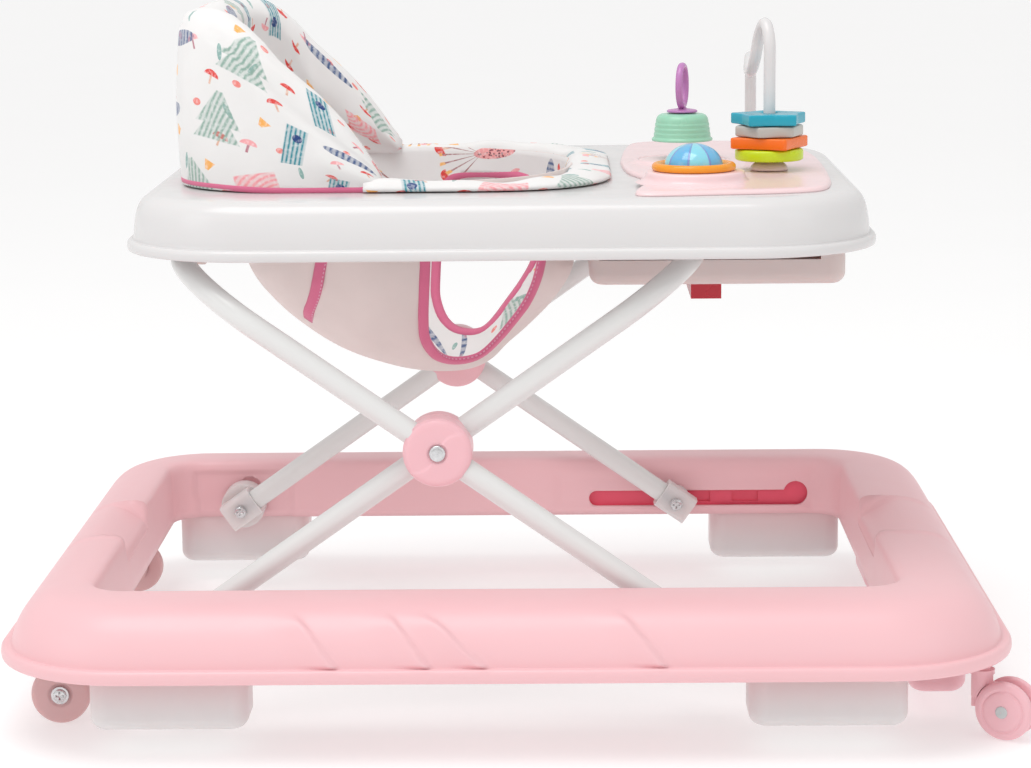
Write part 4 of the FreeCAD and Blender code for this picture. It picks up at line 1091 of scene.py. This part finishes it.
stand_profile = [(42, 370.9), (36, 372.6), (33.6, 374.2), (32.6, stand_top - 1.2),
                 (31.2, stand_top), (0.2, stand_top)]
bell_stand = lathe("bell_stand", stand_profile, (bell_spot[0], bell_spot[1], 0))
finish_piece(bell_stand, "tray", pink_panel)
print("panel reaches", [round(float(v), 1) for v in panel_outline.max(0)], "bell stand top",
      round(stand_top, 2))


# %% [markdown]
# ## Bell, dome and ring
# These toys are turned shapes: a ribbed mint bell with a lilac loop on top, and a dome of blue
# segments that spins inside an orange ring.

# %% Bell and its loop

bell_skin = lathe("bell_skin", [(0.3, bell_top), (22.4, bell_top), (22.8, bell_top + 0.8),
                                (22.5, bell_top + 2.2),
                                (21.2, bell_top + 2.7), (21.2, bell_top + 5.8), (20.7, bell_top + 6.3),
                                (20.8, bell_top + 9.4),
                                (20.2, bell_top + 9.9), (20.3, bell_top + 12.8), (19.8, bell_top + 13.3),
                                (19.6, bell_top + 16.0), (18.2, bell_top + 18.8), (15.4, bell_top + 20.3),
                                (0.3, bell_top + 20.8)],
                  (bell_spot[0], bell_spot[1], 0), soften=1)
finish_piece(bell_skin, "bell", mint)
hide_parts("bell")
knob_disc = lathe("knob_disc", [(0.3, 408.4), (10.8, 408.4), (11.6, 409.2), (11.2, 410.4), (7, 411),
                                (3.2, 411.6), (2.6, 413), (0.3, 413)],
                  (bell_spot[0], bell_spot[1], 0))
finish_piece(knob_disc, "bell_knob", lilac)
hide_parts("bell_knob")
lean = math.radians(14)
loop_line = [(bell_spot[0] + 12.0 * math.cos(a) * math.sin(lean),
              bell_spot[1] + 12.0 * math.cos(a) * math.cos(lean),
              428.2 + 15.2 * math.sin(a)) for a in np.linspace(0, 2 * math.pi, 72, endpoint=False)]
loop_out = [(p[0] - bell_spot[0], p[1] - bell_spot[1], p[2] - 428.2) for p in loop_line]
knob_loop = bead("knob_loop", loop_line, loop_out, round_section(2.7, 16, 0.8), closed=True)
finish_piece(knob_loop, "bell_knob", lilac)

# %% Dome in its ring
def dome_finish(centre):
    """Blue segments with darker joints, around the dome's axis."""
    finish = Finish("sky_blue", (0.20, 0.60, 0.75), 0.14)
    split = finish.node("ShaderNodeSeparateXYZ", finish.place())
    x = finish.sum("SUBTRACT", split.outputs[0], centre[0] * mm)
    y = finish.sum("SUBTRACT", split.outputs[1], centre[1] * mm)
    turn = finish.sum("MULTIPLY", finish.sum("ARCTAN2", y, x), 4 / math.pi)
    part = finish.sum("FRACT", finish.sum("ADD", turn, 8.3))
    joint = finish.step(finish.sum("ABSOLUTE", finish.sum("SUBTRACT", part, 0.5)), 0.44, 0.47)
    half_turn = finish.sum("MULTIPLY", finish.sum("ADD", turn, 8.3), 0.5)
    light = finish.step(finish.sum("FRACT", half_turn), 0.49, 0.51)
    base = finish.blend(light, (0.25, 0.66, 0.78), (0.14, 0.46, 0.74))
    finish.colour_from(finish.blend(joint, base, (0.22, 0.30, 0.66)))
    finish.rough_from(0.08, 0.2, finish.noise(90, 2))
    finish.surface.inputs["Coat Weight"].default_value = 0.5
    finish.surface.inputs["Subsurface Weight"].default_value = 0.1
    finish.bump(joint, 0.7, 0.0006)
    return finish.material


dome_profile = [(0.3, 380), (20.6, 380), (20.9, 381.5)]
dome_profile += [(20.8 * math.cos(a), 381.5 + 16.6 * math.sin(a))
                 for a in np.linspace(0.1, math.pi / 2 - 0.02, 14)]
spin_dome = lathe("spin_dome_shell", dome_profile, (dome_spot[0], dome_spot[1], 0), soften=0)
finish_piece(spin_dome, "spin_dome", dome_finish(dome_spot))
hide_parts("spin_dome")
ring_profile = [(21.6, 379.2), (28.4, 379.2), (29.6, 380.6), (29.4, 383.4),
                (27.0, 385.0), (23.6, 384.2), (21.8, 382.4), (21.6, 379.2)]
dome_ring = lathe("dome_ring_bead", ring_profile, (dome_spot[0], dome_spot[1], 0))
finish_piece(dome_ring, "tray", orange)
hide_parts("dome_ring")


# %% [markdown]
# ## The hoop and its shapes
# A bent white rod makes a tall arch, a dip and a lower arch. Five loose shapes are threaded on
# its near leg and each turns freely on it.

# %% Hoop
hoop_line = spline([(183.4, -68, 369), (183.4, -68, 400), (183.4, -68, 440), (183.2, -67.5, 466),
                    (180.6, -58, 477.6),
                    (177.4, -45, 468), (175.2, -38, 452), (173.6, -26, 442.6), (172.8, -12, 440.5),
                    (173.6, 4, 442.5), (175.2, 22, 446),
                    (176.8, 42, 447.2), (178, 55, 439), (178.2, 58, 425), (178.2, 58, 400),
                    (178.2, 58, 369)], 150)
hoop_rod = bead("hoop_rod", hoop_line, [(1, 0, 0)] * len(hoop_line), round_section(4.3, 18))
finish_piece(hoop_rod, "tray", white)
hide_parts("toy_hoop")
feet = [lathe(f"hoop_foot_{i}", [(0.3, 370.5), (9, 370.5), (7.6, 374), (5.4, 377.5), (4.3, 379.5),
                                 (0.3, 379.5)], (x, y, 0))
        for i, (x, y) in enumerate(((183.4, -68), (178.2, 58)))]
for foot in feet:
    finish_piece(foot, "tray", pink_panel)


# %% Threaded shapes
leg = (183.4, -68)


def tile(name, outline, low_z, high_z, edge):
    """A flat shape with soft edges and a hole for the rod."""
    outline = np.asarray(outline, float)
    size = np.linalg.norm(outline, axis=1).mean()
    turns = np.arctan2(outline[:, 1], outline[:, 0])
    hole = 5.7 * np.column_stack([np.cos(turns), np.sin(turns)])
    steps = [(None, 1.0, high_z - 0.8), (None, 1.12, high_z)]
    steps += [(1, 1 - 2 * edge / size, high_z), (1, 1 - 0.7 * edge / size, high_z - 0.14 * edge),
              (1, 1 - 0.15 * edge / size, high_z - 0.5 * edge), (1, 1, high_z - edge), (1, 1, low_z + edge),
              (1, 1 - 0.15 * edge / size, low_z + 0.5 * edge),
              (1, 1 - 0.7 * edge / size, low_z + 0.14 * edge),
              (1, 1 - 2 * edge / size, low_z)]
    steps += [(None, 1.12, low_z), (None, 1.0, low_z + 0.8)]
    rows = []
    for kind, share, z in steps:
        flat = (hole if kind is None else outline) * share
        rows.append([(leg[0] + x, leg[1] + y, z) for x, y in flat])
    return skin(name, rows, along_closed=True)


def cornered(corners, radii, turn, smooth=2):
    """A closed outline of corners at given radii, softened."""
    points = [(radii[i % len(radii)] * math.cos(2 * math.pi * i / corners + turn),
               radii[i % len(radii)] * math.sin(2 * math.pi * i / corners + turn)) for i in range(corners)]
    out = []
    for a, b in zip(points, points[1:] + points[:1]):
        out += [tuple(np.array(a) + (np.array(b) - np.array(a)) * t) for t in (0.0, 0.1, 0.5, 0.9)]
    line = np.array(out)
    for _ in range(smooth):
        following = np.roll(line, -1, 0)
        line = np.stack([line * 0.75 + following * 0.25, line * 0.25 + following * 0.75], 1).reshape(-1, 2)
    return resampled(line, 160, closed=True)


threaded = (
    ("stack_disc", cornered(40, (24.6,), 0.0), 380.4, 388.8, 1.8, lime, "lime"),
    ("stack_square", cornered(4, (30.5,), 0.32), 389.2, 397.4, 1.2, deep_orange, "orange"),
    ("stack_shield", cornered(6, (25.2,), 0.15), 397.9, 405.5, 1.2, grey_toy, "grey_toy"),
    ("stack_star", cornered(10, (28.5, 21.0), 0.35), 406.2, 414.2, 1.1, teal, "teal"),
)
for node_name, outline, low_z, high_z, edge, finish, slot_name in threaded:
    shape = tile(node_name + "_shape", outline, low_z, high_z, edge)
    finish_piece(shape, node_name, finish)
    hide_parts(node_name)
ball_curve = [(13.7 * math.cos(a), 373.8 + 7.2 * math.sin(a)) for a in np.linspace(-0.05, 1.12, 12)]
ball = lathe("stack_ball_shape", [(5.7, 373.4)] + ball_curve + [(5.7, 380.2), (5.7, 373.4)],
             (*leg, 0), soften=0)
finish_piece(ball, "stack_ball", pink_panel)
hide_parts("stack_ball")


# %% [markdown]
# ## Hub covers, screws and caps
# Where the tubes cross, a pink cover in two halves hides the pivot. A shallow wave runs over
# its face and a domed rivet closes it. The small screws have cross recesses, cut with two
# thin bars.

# %% Hub covers
hub = joint_place("hub_scissor")


def hub_cover(name, side, start, body, nodes_replaced):
    """Half of the hub cover; its face looks along +Y for side 1 and -Y for side -1."""
    profile = [(0.4, 0), (22.6, 0), (23.6, 0.6), (24, 2), (24, 14.2), (23.4, 16.6), (21.8, 18.2),
               (19.8, 18.7)]
    profile += [(r, 18.8) for r in np.linspace(18.6, 7.4, 12)] + [(6.8, 18.4), (6.4, 17.7), (0.4, 17.7)]
    cover = lathe(name, profile, (0, 0, 0), axis=(0, 0, 1), segments=96, soften=1)
    for vertex in cover.data.vertices:
        r = math.hypot(vertex.co.x, vertex.co.y) / mm
        if vertex.co.z / mm > 17 and r > 7.0:
            u = (vertex.co.x * 0.82 + vertex.co.y * 0.57) / mm
            v = (-vertex.co.x * 0.57 + vertex.co.y * 0.82) / mm
            vertex.co.z -= 1.2 * mm * fade(v - 4.5 * math.sin(u * 0.13), -0.8, 0.8)
    turn = Matrix.Rotation(-side * math.pi / 2, 4, "X")
    place = Matrix.Translation(Vector((hub[0], side * start, hub[2])) * mm)
    cover.data.transform(place @ turn)
    tidy(cover)
    finish_piece(cover, body, pink_fitting)
    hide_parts(*nodes_replaced)
    return cover


for side, word in ((1, "left"), (-1, "right")):
    hub_cover(f"hub_face_{word}", side, 196.2, "arm_b", [f"hub_cover_outer_{word}"])
    inner = lathe(f"hub_back_{word}", [(0.4, 178.2), (19, 178.2), (22.4, 179.2), (24, 181.6), (24, 194),
                                       (23.4, 195.7), (0.4, 195.8)],
                  (0, 0, 0), segments=96)
    turn = Matrix.Rotation(-side * math.pi / 2, 4, "X")
    inner.data.transform(Matrix.Translation(Vector((hub[0], 0, hub[2])) * mm) @ turn)
    finish_piece(tidy(inner), "arm_a", pink_fitting)
    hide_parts(f"hub_cover_inner_{word}")


# %% Cross-recess screws and domed rivets
def screw_head(name, centre, axis, radius, rise, body, dome=False):
    """A small pan head with a cross recess; centre is the middle of its seat."""
    profile = [(0.2, 0), (radius, 0), (radius, rise * 0.45), (radius * 0.9, rise * 0.78),
               (radius * 0.6, rise * 0.96), (0.2, rise)]
    head = lathe(name, profile, (0, 0, 0), segments=40, soften=2)
    if not dome:
        bars = []
        for long, wide in ((0.62, 0.15), (0.15, 0.62)):
            outline = [(-radius * long, -radius * wide), (radius * long, -radius * wide),
                       (radius * long, radius * wide), (-radius * long, radius * wide)]
            bars.append(skin("cutter", [[(x, y, z) for x, y in outline] for z in (rise * 0.35, rise * 2)],
                             capped=True))
        carve(head, bars)
    turn = Vector(axis).to_track_quat("Z", "Y").to_matrix().to_4x4()
    head.data.transform(Matrix.Translation(Vector(centre) * mm) @ turn)
    return finish_piece(head, body, steel)


roll = {word: joint_place(f"rear_wheel_{word}_roll") for word in ("left", "right")}
fold = joint_place("height_fold")
slider_x = 2 * hub[0] - fold[0]
for side, word in ((1, "left"), (-1, "right")):
    screw_head(f"rear_wheel_screw_{word}", (roll[word][0], side * 196.5, roll[word][2]), (0, side, 0),
               4.6, 1.6, "base")
    screw_head(f"pivot_screw_{word}", (fold[0], side * 174.6, fold[2]), (0, -side, 0), 4.6, 2.0, "base")
    screw_head(f"slider_screw_{word}", (slider_x, side * 192.7, fold[2]), (0, -side, 0), 4.6, 2.0, "arm_b")
    screw_head(f"hub_rivet_{word}", (hub[0], side * 213.7, hub[2]), (0, side, 0), 5.8, 2.6, "arm_b",
               dome=True)


# %% [markdown]
# ## Wheels
# The rear wheels are solid discs on a screw. Each front caster has two hooded discs on a
# swivelling stem, with a stepped ring on the face and a small bright cap.

# %% Wheels and casters
def wheel(name, profile, centre, axis, body, finish, nodes_replaced=()):
    """A turned wheel about any axis; its profile's heights are measured from centre."""
    made = lathe(name, profile, centre, axis=axis, segments=96)
    finish_piece(made, body, finish)
    if nodes_replaced:
        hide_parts(*nodes_replaced)
    return made


for side, word in ((1, "left"), (-1, "right")):
    wheel(f"rear_wheel_disc_{word}",
          [(3.6, -6.0), (18.8, -6.0), (20.6, -5.0), (20.9, -2.8), (20.9, 3.2), (20.2, 5.2), (18.0, 6.2),
           (9.0, 6.0), (8.0, 5.2),
           (6.6, 4.6), (3.6, 4.6), (3.6, -6.0)], (roll[word][0], side * 189.2, roll[word][2]), (0, side, 0),
          f"rear_wheel_{word}", wheel_pink, [f"rear_wheel_{word}"])
    spot = joint_place(f"caster_{word}_roll")
    axis = np.array(joint(f"caster_{word}_roll")["axis"], float)
    for way, face in ((1, "a"), (-1, "b")):
        wheel(f"caster_disc_{word}_{face}",
              [(0.3, 4.9), (18.4, 4.9), (20.1, 5.6), (20.5, 7.2), (20.3, 9.0), (19.0, 10.6), (16.8, 11.4),
               (15.4, 11.5),
               (14.8, 11.0), (13.8, 11.0), (13.2, 11.8), (8.0, 12.4), (0.3, 12.5)],
              spot, tuple(axis * way), f"caster_roll_{word}", pink_fitting,
              [f"caster_wheel_{word}"] if way == 1 else ())
        wheel(f"caster_button_{word}_{face}",
              [(0.3, 12.2), (4.2, 12.2), (4.3, 13.0), (3.4, 13.5), (0.3, 13.6)],
              spot, tuple(axis * way), f"caster_roll_{word}", grey_cap,
              [f"caster_cap_{word}"] if way == 1 else ())
print("wheels ready")


# %% [markdown]
# ## Finishes for the carried-over parts
# The tubes, caps, foot blocks, brackets and rails keep the shapes of the engineering model.
# They only need their real finish.

# %% Finishes by part
# The latch rails sit in the shade of the slot, so their red is brightened to make up for it: partly their
# own red, partly painted light.
rail_red_painted_light = plastic("latch_red", (0.86, 0.10, 0.17), 0.4, 0.05)
by_part = {
    "tube_a": tube_white, "tube_b": tube_white, "release_tab": red, "latch_rails": rail_red_painted_light,
    "tray_box": pale,
    "tab_housing": pale, "tube_saddles": pale, "caster_sleeves": pale, "rear_axle_screws": steel,
    "pivot_screws": steel, "slider_screws": steel, "hub_rivets": steel,
}
for word in ("left", "right"):
    for part in ("rear_foot", "front_foot"):
        by_part[f"{part}_{word}"] = milk
    for part in ("pivot_cap", "slider_cap", "pivot_boss", "slider_stud"):
        by_part[f"{part}_{word}"] = cap_milk
    by_part[f"front_stop_{word}"] = pink_fitting
    by_part[f"rear_bracket_{word}"] = wheel_pink
    by_part[f"caster_fork_{word}"] = pink_fitting
    by_part[f"caster_axle_{word}"] = steel
for part, finish in by_part.items():
    holder = nodes[part]
    holder.data.materials.clear()
    holder.data.materials.append(finish)
for part, holder in nodes.items():
    if part not in by_part and not holder.hide_render:
        raise RuntimeError(f"{part} has no finish")
print("parts finished:", len(by_part))
